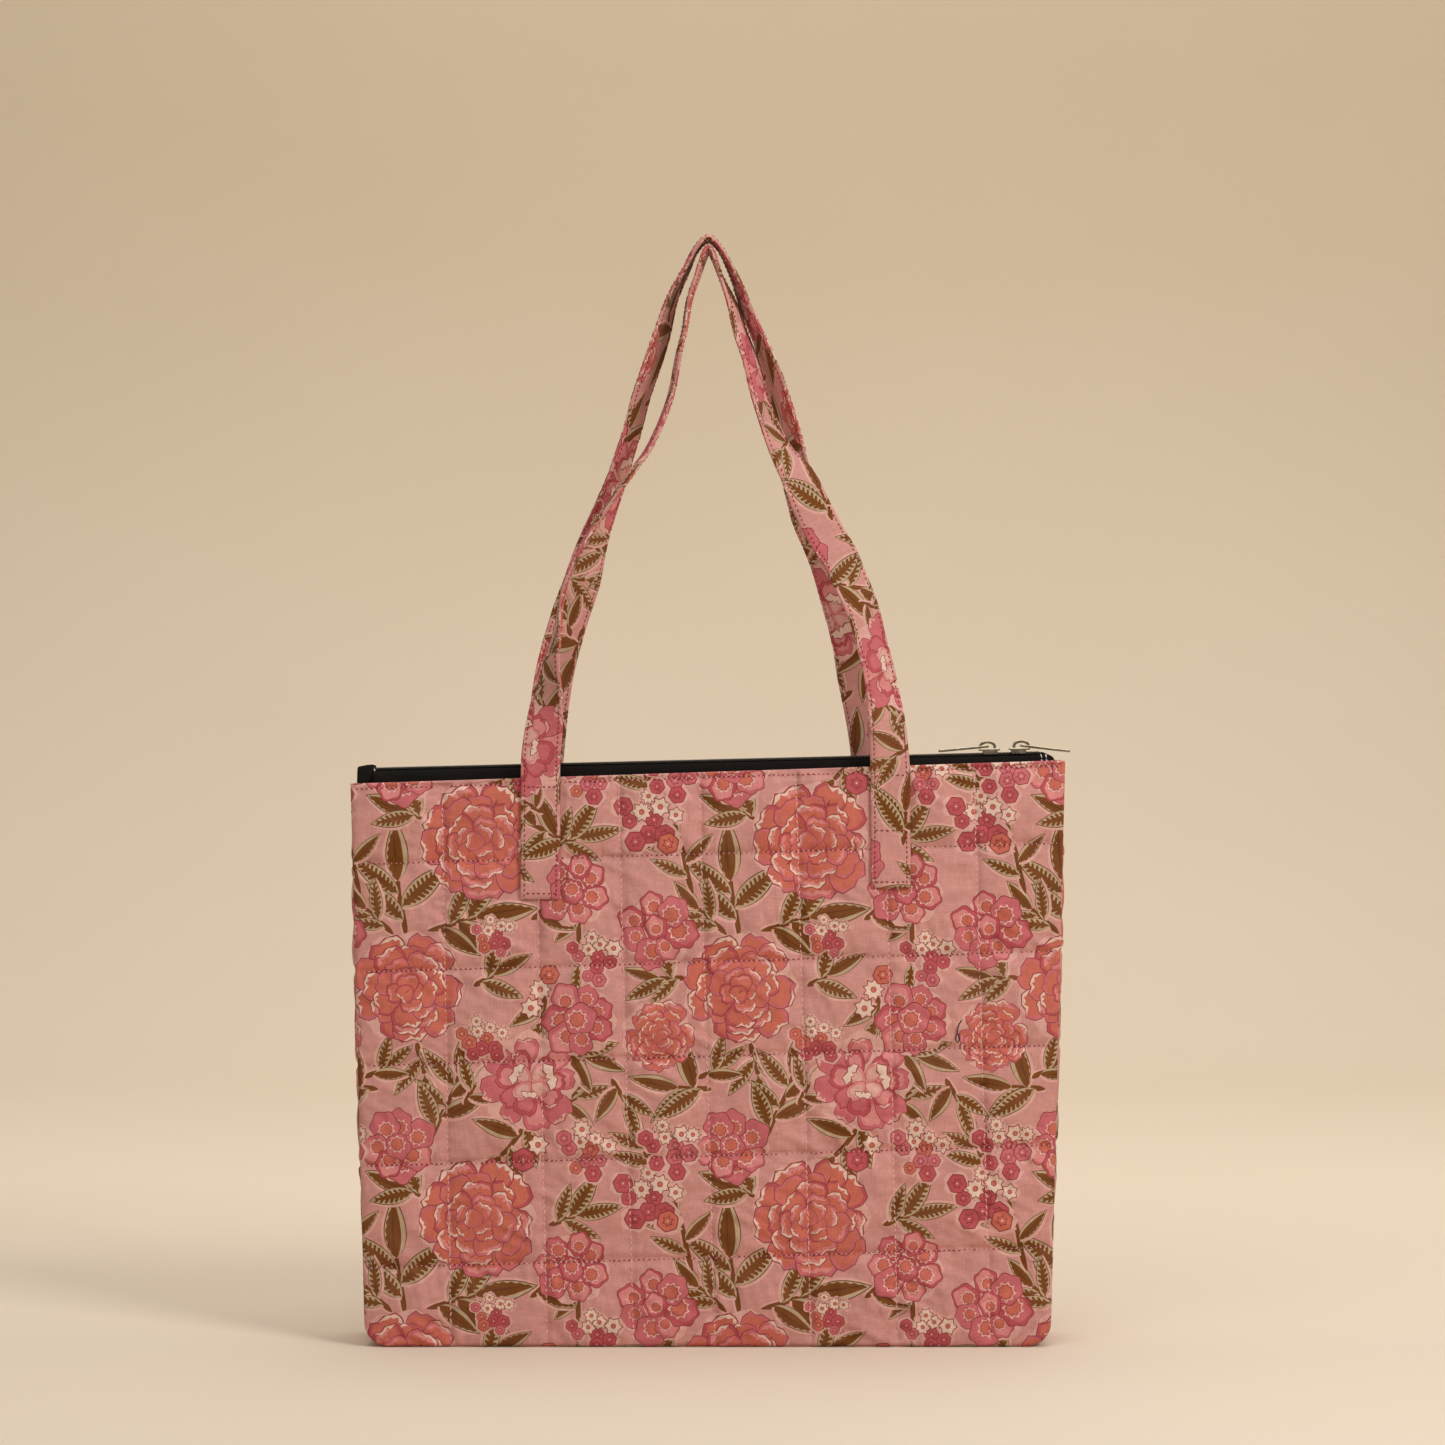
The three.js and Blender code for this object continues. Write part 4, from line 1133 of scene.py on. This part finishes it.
STITCH_TAPER = np.array([0.5, 0.95, 1.0, 0.95, 0.5])     # a stitch's thickness from end to end
STITCH_STATIONS = len(STITCH_TAPER)
STITCH_TIP = 0.6            # how far its tips stand out, in radii
STITCH_RISE = 1.7           # of its middle above its ends, in radii
STITCH_SINK = 0.75          # of its ends into the cloth, in radii
THREAD_SIDES = 5
CROSS_PITCH = 0.0026        # of the rows across a strap


def ring_quads(count, around):
    """Quads between neighbouring rings, for points numbered ring by ring."""
    quads = []
    for i in range(count - 1):
        for k in range(around):
            a, b = i * around + k, i * around + (k + 1) % around
            quads.append((a, b, b + around, a + around))
    return quads


def swept(name, rings, material, flip):
    """A closed body through a row of closed rings."""
    count, around = rings.shape[:2]
    last = (count - 1) * around
    faces = [*ring_quads(count, around), tuple(range(around))[::-1], tuple(range(last, last + around))]
    if flip:
        faces = [face[::-1] for face in faces]
    return new_mesh(name, rings.reshape(-1, 3), faces, material)


def stitch_run(place, line, seed, pitch=STITCH_PITCH, share=0.74, sway=0.00018, shift=0.0):
    """Stitch centre lines and normals along a line on flat cloth, a little uneven."""
    rng = np.random.default_rng(seed)
    lengths = np.concatenate([[0], np.cumsum(np.linalg.norm(np.diff(line, axis=0), axis=1))])
    count = max(1, int(lengths[-1] / pitch))
    starts = (np.arange(count) + shift + rng.normal(0, 0.05, count)) * lengths[-1] / count
    t = np.linspace(0, 1, STITCH_STATIONS)
    at = np.clip(starts[:, None] + t * pitch * share * rng.uniform(0.92, 1.08, (count, 1)), 0, lengths[-1])
    flat = np.stack([np.interp(at, lengths, line[:, k]) for k in (0, 1)], 2)
    heading = line[-1] - line[0]
    beside = np.array([-heading[1], heading[0]]) / max(np.linalg.norm(heading), 1e-9)
    lean = (t - 0.5)[None, :] * sway * rng.choice([-1, 1], (count, 1)) * 2
    lean = lean + rng.normal(0, sway / 3, (count, 1))
    flat = flat + lean[:, :, None] * beside
    spots = flat.reshape(-1, 2)
    normals = normals_of(place, spots)
    height = THREAD_RADIUS * (STITCH_RISE * np.sin(PI * t) - STITCH_SINK)
    points = place(spots, 0.0) + normals * np.tile(height, count)[:, None]
    return points.reshape(count, -1, 3), normals.reshape(count, -1, 3)


def stitch_faces():
    """The faces of one stitch: quads between its rings, then triangles to its two tips."""
    last, tip = (STITCH_STATIONS - 1) * THREAD_SIDES, STITCH_STATIONS * THREAD_SIDES
    fans = []
    for k in range(THREAD_SIDES):
        after = (k + 1) % THREAD_SIDES
        fans += [(after, k, tip), (last + k, last + after, tip + 1)]
    return np.array(ring_quads(STITCH_STATIONS, THREAD_SIDES)), np.array(fans)


def thread_piece(name, runs, material):
    """One object of many short stitches, each a tapered capsule."""
    centres = np.concatenate([run[0] for run in runs])
    normals = np.concatenate([run[1] for run in runs])
    along = np.gradient(centres, axis=1)
    along /= np.maximum(np.linalg.norm(along, axis=2), 1e-9)[:, :, None]
    side = np.cross(along, normals)
    turn = np.arange(THREAD_SIDES) * 2 * PI / THREAD_SIDES
    ring = normals[:, :, None, :] * np.cos(turn)[:, None] + side[:, :, None, :] * np.sin(turn)[:, None]
    body = centres[:, :, None, :] + ring * (THREAD_RADIUS * STITCH_TAPER)[:, None, None]
    before, after = (along[:, k] * THREAD_RADIUS * STITCH_TIP for k in (0, -1))
    tips = np.stack([centres[:, 0] - before, centres[:, -1] + after], 1)
    points = np.concatenate([body.reshape(len(centres), -1, 3), tips], 1)
    first = np.arange(len(centres))[:, None, None] * points.shape[1]
    quads, fans = stitch_faces()
    faces = (quads + first).reshape(-1, 4).tolist() + (fans + first).reshape(-1, 3).tolist()
    return new_mesh(name, points.reshape(-1, 3), faces, material)


def tube(name, line, radius, material, sides=6):
    """A closed tube of one radius along a line of points."""
    line = np.asarray(line, float)
    along = np.gradient(line, axis=0)
    along /= np.linalg.norm(along, axis=1)[:, None]
    helper = np.where(np.abs(along[:, 1:2]) > 0.9, [[1.0, 0, 0]], [[0, 1.0, 0]])
    side = np.cross(along, helper)
    side /= np.linalg.norm(side, axis=1)[:, None]
    up = np.cross(side, along)
    turn = (np.arange(sides) * 2 * PI / sides)[:, None]
    rings = line[:, None] + radius * (side[:, None] * np.cos(turn) + up[:, None] * np.sin(turn))
    last = (len(line) - 1) * sides
    faces = [(a, d, c, b) for a, b, c, d in ring_quads(len(line), sides)]
    faces += [tuple(range(sides)), tuple(range(last, last + sides))[::-1]]
    return new_mesh(name, rings.reshape(-1, 3), faces, material)


# ---------------------------------------------------------------- zip


def chain_place(along, y, height):
    """A point in the chain's own frame, as the bag's x, y and z."""
    scale = math.hypot(1, CHAIN_SLOPE)
    x = (along - height * CHAIN_SLOPE) / scale
    z = CHAIN_HEIGHT + (along * CHAIN_SLOPE + height) / scale
    return np.stack(np.broadcast_arrays(x, y, z), -1)


TAPE_LINE = ((1.0, -0.3), (2.2, -0.3), (3.4, -0.32), (4.6, -0.45), (5.6, -1.3), (6.6, -2.8),
             (7.6, -4.8), (8.3, -7.0), (8.4, -9.5), (8.4, -12.6))        # y and height, in millimetres


def zip_tape(name, side):
    """Half of the woven tape, flat under the coil, then rolled down behind the hem."""
    line = np.array(TAPE_LINE) * MM
    normal = np.stack([-np.gradient(line[:, 1]), np.gradient(line[:, 0])], 1)
    normal /= np.linalg.norm(normal, axis=1)[:, None]
    normal *= TAPE_HALF_THICKNESS
    loop = np.concatenate([line + normal, (line - normal)[::-1]])
    stations = np.linspace(CHAIN_LEFT, CHAIN_RIGHT, 200)
    high, low = TAPE_SLACK
    height = loop[:, 1]
    slack = np.clip((high - height) / TAPE_FADE, 0, 1) * np.clip((height - low) / TAPE_FADE, 0, 1)
    ripple = TAPE_RIPPLE * waves(stations, 60 + side, 0.012, 0.05)[:, None] * slack
    points = chain_place(stations[:, None], side * (loop[:, 0] + ripple), loop[:, 1] + ripple)
    return swept(name, points, MATERIALS["zip_tape"], side > 0)


def zip_coil(name, side):
    """A nylon coil on one tape edge, and the filler cord that it is wound round."""
    turns = (CHAIN_RIGHT - CHAIN_LEFT) / COIL_PITCH
    angle = np.linspace(0, 2 * PI * turns, int(turns * COIL_STEPS))
    phase = angle + (PI if side > 0 else 0)
    along = CHAIN_LEFT + COIL_PITCH * angle / (2 * PI) + COIL_LEAN * np.cos(phase)
    y = side * (COIL_CENTRE + COIL_HALF_WIDTH * np.cos(phase))
    height = COIL_HEIGHT + COIL_HALF_HEIGHT * np.sin(phase)
    coil = tube(name, chain_place(along, y, height), WIRE_RADIUS, MATERIALS["zip_nylon"], 5)
    core_line = chain_place(np.array([CHAIN_LEFT, CHAIN_RIGHT]), side * COIL_CENTRE, CORE_RADIUS)
    core = tube(name + "_core", core_line, CORE_RADIUS, MATERIALS["zip_tape"], 8)
    return coil, core


def tail_ring(u, ridge, foot):
    """The section of a folded tape end at a share of its length: y and height, all the way round."""
    across = np.linspace(-1, 1, 25)
    pinch = 1 - TAIL_PINCH * math.sin(PI * u)
    soft = TAIL_SOFTNESS * np.sin(9 * across + 5 * u)
    height = ridge - (ridge - foot) * np.abs(across) ** TAIL_ROUNDNESS
    top = np.stack([TAIL_HALF_WIDTH * across * pinch, height + soft], 1)
    low = np.stack([TAIL_INNER_HALF_WIDTH * across * pinch,
                    height - TAIL_THICKNESS * (1 - np.abs(across)) + soft], 1)
    return np.concatenate([top, low[::-1][1:-1]])


def zip_tail(name, start, end, ridge_start, ridge_end, foot):
    """A folded tape end: a tent over the end of the chain, from its ridge down behind the hem."""
    rings = []
    for u in np.linspace(0, 1, 12):
        ring = tail_ring(u, ridge_start + (ridge_end - ridge_start) * u, foot)
        tuck = TAIL_TUCK * (abs(2 * u - 1) ** 8)
        y = ring[:, 0] * (1 - tuck / TAIL_TUCK_WIDTH)
        rings.append(chain_place(start + (end - start) * u, y, ring[:, 1] - tuck))
    return swept(name, np.array(rings), MATERIALS["zip_tape"], end > start)


# ---------------------------------------------------------------- materials


def add(tree, kind, inputs=(), **settings):
    """A shader node with its settings, its values and its links."""
    made = tree.nodes.new(kind)
    for key, value in settings.items():
        setattr(made, key, value)
    for key, value in dict(inputs).items():
        if isinstance(value, bpy.types.NodeSocket):
            tree.links.new(value, made.inputs[key])
        else:
            made.inputs[key].default_value = value
    return made


def start_material(name, roughness=0.9, metallic=0.0, sheen=0.0):
    material = bpy.data.materials.new(name)
    material.use_nodes = True
    tree = material.node_tree
    shader = tree.nodes["Principled BSDF"]
    shader.inputs["Roughness"].default_value = roughness
    shader.inputs["Metallic"].default_value = metallic
    shader.inputs["Sheen Weight"].default_value = sheen
    shader.inputs["Specular IOR Level"].default_value = 0.5 if metallic else 0.14
    return material, tree, shader


def noise(tree, vector, scale, detail=2.0, roughness=0.55):
    made = add(tree, "ShaderNodeTexNoise", {"Vector": vector, "Scale": scale, "Detail": detail,
                                            "Roughness": roughness})
    return made.outputs["Fac"]


def spread(tree, value, low, high, from_low=0.3, from_high=0.7):
    """A noise value stretched to run between two numbers."""
    made = add(tree, "ShaderNodeMapRange", {"Value": value, "From Min": from_low, "From Max": from_high,
                                            "To Min": low, "To Max": high})
    return made.outputs["Result"]


def maths(tree, operation, a, b):
    return add(tree, "ShaderNodeMath", {0: a, 1: b}, operation=operation).outputs[0]


def blended(tree, factor, a, b, blend_type="MIX"):
    made = add(tree, "ShaderNodeMix", {0: factor, 6: a, 7: b}, data_type="RGBA", blend_type=blend_type)
    return made.outputs[2]


def scaled(tree, vector, scale):
    return add(tree, "ShaderNodeMapping", {"Vector": vector, "Scale": scale}).outputs["Vector"]


def threads(tree, vector, pitch):
    """Uneven warp and weft threads, about 0 to 1, from two stretched noises and a fine lattice."""
    fine, long = 1 / pitch, 1 / (pitch * 14)
    warp = noise(tree, scaled(tree, vector, (fine, long, long)), 1.0)
    weft = noise(tree, scaled(tree, vector, (long, fine, long)), 1.0)
    return maths(tree, "MULTIPLY", maths(tree, "ADD", warp, weft), 0.5)


def bump(tree, shader, height, strength, distance):
    made = add(tree, "ShaderNodeBump", {"Height": height, "Strength": strength, "Distance": distance})
    tree.links.new(made.outputs["Normal"], shader.inputs["Normal"])


def grey(tree, value):
    return add(tree, "ShaderNodeCombineColor", {0: value, 1: value, 2: value}).outputs[0]


def printed_cotton():
    """Block-printed plain weave: each ink washes unevenly over slubby threads."""
    material, tree, shader = start_material("printed_cotton", 0.9, 0.0, 0.04)
    cloth = add(tree, "ShaderNodeAttribute", attribute_name="cloth").outputs["Vector"]
    ink = add(tree, "ShaderNodeAttribute", attribute_name="ink").outputs["Color"]
    wash = spread(tree, noise(tree, cloth, 55, 3), 0.91, 1.09)
    stain = spread(tree, noise(tree, cloth, 420, 3), 0.95, 1.05)
    faded = spread(tree, noise(tree, cloth, 28, 2), 0.0, 0.09)
    weave = threads(tree, cloth, 0.00042)
    slub = threads(tree, cloth, 0.0011)
    thread = maths(tree, "MULTIPLY", spread(tree, weave, 0.86, 1.12), spread(tree, slub, 0.93, 1.06))
    tone = maths(tree, "MULTIPLY", maths(tree, "MULTIPLY", wash, stain), thread)
    washed = blended(tree, 1.0, ink, grey(tree, tone), "MULTIPLY")
    bled = blended(tree, faded, washed, INKS["ground"])
    tree.links.new(bled, shader.inputs["Base Color"])
    tree.links.new(spread(tree, weave, 0.82, 0.96), shader.inputs["Roughness"])
    bump(tree, shader, maths(tree, "ADD", weave, slub), 0.5, 0.0003)
    return material


def plain_cloth(name, colour, pitch, roughness=0.92, strength=0.5, sheen=0.1):
    """Plain weave of one colour, a little uneven in tone."""
    material, tree, shader = start_material(name, roughness, 0.0, sheen)
    place = add(tree, "ShaderNodeTexCoord").outputs["Object"]
    weave = threads(tree, place, pitch)
    wash = spread(tree, noise(tree, place, 60), 0.9, 1.1)
    tone = grey(tree, maths(tree, "MULTIPLY", spread(tree, weave, 0.8, 1.2), wash))
    rough = spread(tree, weave, roughness - 0.06, min(1, roughness + 0.05))
    tree.links.new(blended(tree, 1.0, colour, tone, "MULTIPLY"), shader.inputs["Base Color"])
    tree.links.new(rough, shader.inputs["Roughness"])
    bump(tree, shader, weave, strength, pitch)
    return material


def nylon():
    material, tree, shader = start_material("zip_nylon", 0.5)
    place = add(tree, "ShaderNodeTexCoord").outputs["Object"]
    glint_speck = noise(tree, place, 900, 3)
    # Pale specks on the dark nylon: painted highlights of the coil's small turns.
    colour = blended(tree, glint_speck, srgb(34, 30, 27), srgb(92, 86, 78))
    tree.links.new(colour, shader.inputs["Base Color"])
    tree.links.new(spread(tree, glint_speck, 0.26, 0.42), shader.inputs["Roughness"])
    shader.inputs["Specular IOR Level"].default_value = 0.6
    return material


def nickel():
    """Tumbled nickel plate: slightly warm, faintly scratched, its tone swung by soft smears and painted
    reflections.
    """
    material, tree, shader = start_material("slider_metal", 0.22, 1.0)
    place = add(tree, "ShaderNodeTexCoord").outputs["Object"]
    smear_and_reflection = noise(tree, place, 260, 3)
    scratch = noise(tree, scaled(tree, place, (400, 5000, 5000)), 1.0)
    # Dark to pale base colour: painted reflections and highlights over some real smearing.
    colour = blended(tree, smear_and_reflection, srgb(134, 118, 92), srgb(234, 222, 196))
    tree.links.new(colour, shader.inputs["Base Color"])
    tree.links.new(spread(tree, smear_and_reflection, 0.16, 0.3), shader.inputs["Roughness"])
    bump(tree, shader, scratch, 0.12, 0.00005)
    return material


def thread(name, colour):
    material, tree, shader = start_material(name, 0.7, 0.0, 0.2)
    place = add(tree, "ShaderNodeTexCoord").outputs["Object"]
    ply = noise(tree, place, 2600, 1)
    tone = grey(tree, spread(tree, ply, 0.78, 1.18))
    tree.links.new(blended(tree, 1.0, colour, tone, "MULTIPLY"), shader.inputs["Base Color"])
    bump(tree, shader, ply, 0.4, 0.0002)
    return material


def backdrop_paper():
    """Warm paper: a floor, and a wall whose tone deepens towards its top as painted shade."""
    material, tree, shader = start_material("backdrop", 0.95)
    place = add(tree, "ShaderNodeTexCoord").outputs["Object"]
    split = add(tree, "ShaderNodeSeparateXYZ", {"Vector": place})
    cloud = spread(tree, noise(tree, place, 1.6, 3), -0.08, 0.08)
    # Painted shade: the wall darkens towards its top, with a faint random mottle.
    painted_shade = maths(tree, "ADD", spread(tree, split.outputs["Z"], 0.0, 1.0, 0.0, BACKDROP_SHADE_HEIGHT), cloud)
    wall = blended(tree, painted_shade, BACKDROP_LIGHT, BACKDROP_PAINTED_SHADE)
    on_wall = spread(tree, split.outputs["Y"], 0.0, 1.0, *FLOOR_FADE)
    tree.links.new(blended(tree, on_wall, BACKDROP_FLOOR, wall), shader.inputs["Base Color"])
    return material


MATERIALS = {
    "printed_cotton": printed_cotton(),
    "lining": plain_cloth("lining", srgb(228, 206, 180), 0.0004),
    "wadding": plain_cloth("wadding", srgb(236, 230, 218), 0.0012),
    "binding": plain_cloth("binding", srgb(196, 108, 112), 0.0004),
    "zip_tape": plain_cloth("zip_tape", srgb(20, 15, 13), 0.0007, 0.9, 0.8, 0.0),
    "zip_nylon": nylon(),
    "slider_metal": nickel(),
    "pale_thread": thread("pale_thread", srgb(240, 186, 182)),
    "rose_thread": thread("rose_thread", srgb(150, 52, 58)),
    "white_thread": thread("white_thread", srgb(226, 222, 214)),
    "dark_thread": thread("dark_thread", srgb(48, 18, 24)),
}


# ---------------------------------------------------------------- build


def belongs(piece, body, slot, *nodes):
    """The piece rides on a body and stands for the CAD nodes given, which it hides; its slot is not used."""
    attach(piece, body)
    if nodes:
        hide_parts(*nodes)
    return piece


def upright_runs(face):
    """The nearly unbroken pale stitches along the upright lines of a face's quilting."""
    runs = []
    for k in range(1, COLUMN_COUNT):
        z = np.linspace(SEAM_MARGIN, hem_height(QUILT_COLUMNS[k - 1]) - HEM_MARGIN, 90)
        line = np.stack([-face.side * quilt_column(k, z), z], 1)
        seed = 10 * k + face.side
        runs.append(stitch_run(face.place, line, seed, STITCH_PITCH, UPRIGHT_SHARE, UPRIGHT_SWAY))
    return runs


def level_runs(face, share, shift):
    """Stitches along the level lines of a face's quilting and along its hem."""
    runs = []
    for k in range(1, ROW_COUNT):
        reach = half_width(np.array([QUILT_ROWS[k - 1]]))[0] - SEAM_MARGIN
        x = np.linspace(-reach, reach, 120)
        line = np.stack([-face.side * x, quilt_row(k, x)], 1)
        runs.append(stitch_run(face.place, line, 300 + 10 * k, LEVEL_PITCH, share, LEVEL_SWAY, shift))
    x = np.linspace(-TOP_HALF_WIDTH + SEAM_MARGIN, TOP_HALF_WIDTH - SEAM_MARGIN, 120)
    hem = np.stack([-face.side * x, hem_height(x) - HEM_STITCH], 1)
    runs.append(stitch_run(face.place, hem, 777, LEVEL_PITCH, share, LEVEL_SWAY, shift))
    return runs


def sew_panel(name, shape, nodes, pitch=PANEL_GRID, turn=0.0):
    """A padded piece of the bag, in the place of one CAD outer and its wadding."""
    panel = padded_piece(name, shape, pitch, turn)
    belongs(panel, "bag", "printed_cotton", nodes + "_outer", nodes + "_wadding")


def build_panels(faces):
    for name, face in faces.items():
        sew_panel(name + "_panel", face, name)
        rows = (("upright", upright_runs(face), "pale_thread"),
                ("level_dark", level_runs(face, DARK_SHARE, 0.0), "rose_thread"),
                ("level_pale", level_runs(face, PALE_SHARE, DARK_SHARE), "pale_thread"))
        for title, runs, colour in rows:
            stitches = thread_piece(name + "_quilting_" + title, runs, MATERIALS[colour])
            belongs(stitches, "bag", "printed_cotton")


def build_strips():
    for name, sign in (("left_gusset", -1), ("right_gusset", 1)):
        sew_panel(name, Strip(sign), name, PANEL_GRID, GUSSET_PRINT_TURN)
    sew_panel("base_panel", Base(), "base", BASE_GRID)


def strap_stitches(name, strap):
    """The rows along both edges of a strap, and the rows across its sewn ends."""
    along = enumerate(strap.row_lines())
    rows = [stitch_run(strap.place, line, 500 + k, LEVEL_PITCH) for k, line in along]
    right_rows = [strap.length - s for s in (*STRAP_BOX_ROWS, STRAP_EXTRA_ROW)]
    for k, s in enumerate([*STRAP_BOX_ROWS, *right_rows]):
        rows.append(stitch_run(strap.place, strap.cross_line(s), 600 + k, CROSS_PITCH))
    return thread_piece(name, rows, MATERIALS["rose_thread"])


def build_straps(faces):
    y, start, end = STRAP_HINGE
    for name, face in faces.items():
        strap = Strap(name, face)
        cloth = strap_cloth(name + "_strap", strap)
        stitches = strap_stitches(name + "_strap_stitches", strap)
        low, high = (Vector((0, face.side * y, z)) for z in (start, end))
        for piece in (cloth, stitches):
            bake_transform(piece)
            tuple(low)
        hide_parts(name + "_strap_loop", name + "_strap_end_left", name + "_strap_end_right")


def tack_runs(start, ridge, foot, rows):
    """Short rows of white stitches up the front of a folded tape end, near its start."""
    def over_tail(flat, depth):
        share = np.clip((ridge - flat[:, 1]) / (ridge - foot), 0, 1)
        y = -TAIL_HALF_WIDTH * share ** (1 / TAIL_ROUNDNESS) - depth
        return chain_place(flat[:, 0], y, flat[:, 1])
    low, high = foot + TACK_MARGINS[0], ridge - TACK_MARGINS[1]
    lines = [np.array([[start + row, low], [start + 0.9 * row, high]]) for row in rows]
    return [stitch_run(over_tail, line, 901, TACK_PITCH, TACK_SHARE) for line in lines]


def build_zip():
    for name, side in SIDES.items():
        tape = zip_tape("woven_tape_" + name, side)
        belongs(tape, "bag", "zip_tape", "zip_tape_" + name)
        coil, core = zip_coil("coil_" + name, side)
        belongs(coil, "bag", "zip_nylon", "zip_coil_" + name)
        belongs(core, "bag", "zip_tape")
    for name, shape in TAILS.items():
        tail = zip_tail("folded_tape_" + name, *shape)
        belongs(tail, "bag", "zip_tape", "zip_tail_" + name)
        runs = tack_runs(shape[0], shape[2], shape[4], TACK_ROWS[name])
        belongs(thread_piece(name + "_tail_tacks", runs, MATERIALS["white_thread"]), "bag", "zip_tape")


def build_loose_thread(face):
    """A stray end of dark thread that hangs over the front and loops back on itself."""
    hang = np.linspace(0, 1, 12)[:, None]
    tail = LOOSE_THREAD + LOOSE_HANG * (1 - hang) + LOOSE_BOW * np.sin(PI * hang)
    turn = np.linspace(PI / 2, 2.4 * PI, 20)[1:, None]
    loop = LOOSE_THREAD + LOOSE_LOOP * np.concatenate([np.cos(turn), np.sin(turn) - 1], 1)
    flat = np.concatenate([tail, loop])
    lift = LOOSE_RADIUS + LOOSE_LIFT * np.sin(np.linspace(0, PI, len(flat)))
    line = face.place(flat, 0.0) + normals_of(face.place, flat) * lift[:, None]
    belongs(tube("loose_thread", line, LOOSE_RADIUS, MATERIALS["dark_thread"]), "bag", "printed_cotton")


def finish_cad_nodes():
    """Gives the CAD nodes that stay in view their material."""
    for row in frame["record"]["subparts"]:
        node = frame["nodes"][row["node"]]
        node.data.materials.clear()
        node.data.materials.append(MATERIALS[row["material_slot"]])


def build_stage():
    """A seamless paper sweep: floor, curve and wall."""
    foot = BACKDROP_WALL - BACKDROP_BEND
    curve = [(foot + BACKDROP_BEND * math.sin(turn), BACKDROP_BEND - BACKDROP_BEND * math.cos(turn))
             for turn in np.linspace(0, PI / 2, 24)]
    profile = [(BACKDROP_FRONT, 0.0), *curve, (BACKDROP_WALL, BACKDROP_TOP)]
    points = [(x, y, z) for x in (-BACKDROP_HALF_WIDTH, BACKDROP_HALF_WIDTH) for y, z in profile]
    count = len(profile)
    faces = [(k, count + k, count + k + 1, k + 1) for k in range(count - 1)]
    sweep = new_mesh("backdrop", points, faces, backdrop_paper())
    sweep.location.z = -BACKDROP_DROP


def add_lamp(name, place, target, power, size):
    data = bpy.data.lights.new(name, "AREA")
    data.energy = power
    data.color = WARM_LIGHT
    data.size = size
    lamp = add_object(name, data)
    lamp.location = place
    lamp.rotation_euler = (Vector(target) - Vector(place)).to_track_quat("-Z", "Y").to_euler()


def light_scene():
    """A soft key from the upper right, a broad fill from the upper left and a soft light overhead."""
    for name, settings in LAMPS.items():
        add_lamp(name, *settings)
    world = bpy.data.worlds.new("studio")
    world.use_nodes = True
    background = world.node_tree.nodes["Background"]
    background.inputs[0].default_value = (*WARM_LIGHT, 1)
    background.inputs[1].default_value = WORLD_STRENGTH
    bpy.context.scene.world = world
    bpy.context.scene.view_settings.view_transform = "Standard"


def add_camera():
    data = bpy.data.cameras.new("camera")
    data.sensor_width = 36
    data.lens = CAMERA_LENS
    camera = add_object("camera", data)
    camera.location = CAMERA_PLACE
    camera.rotation_euler = (PI / 2, 0, 0)
    bpy.context.scene.camera = camera


def build():
    puffs = simulate_puff()
    faces = {name: Face(SIDES[name], puff, STRAP_CENTRES[name]) for name, puff in zip(SIDES, puffs)}
    finish_cad_nodes()
    build_panels(faces)
    build_strips()
    build_straps(faces)
    build_zip()
    build_loose_thread(faces["front"])
    build_stage()
    light_scene()
    add_camera()


build()
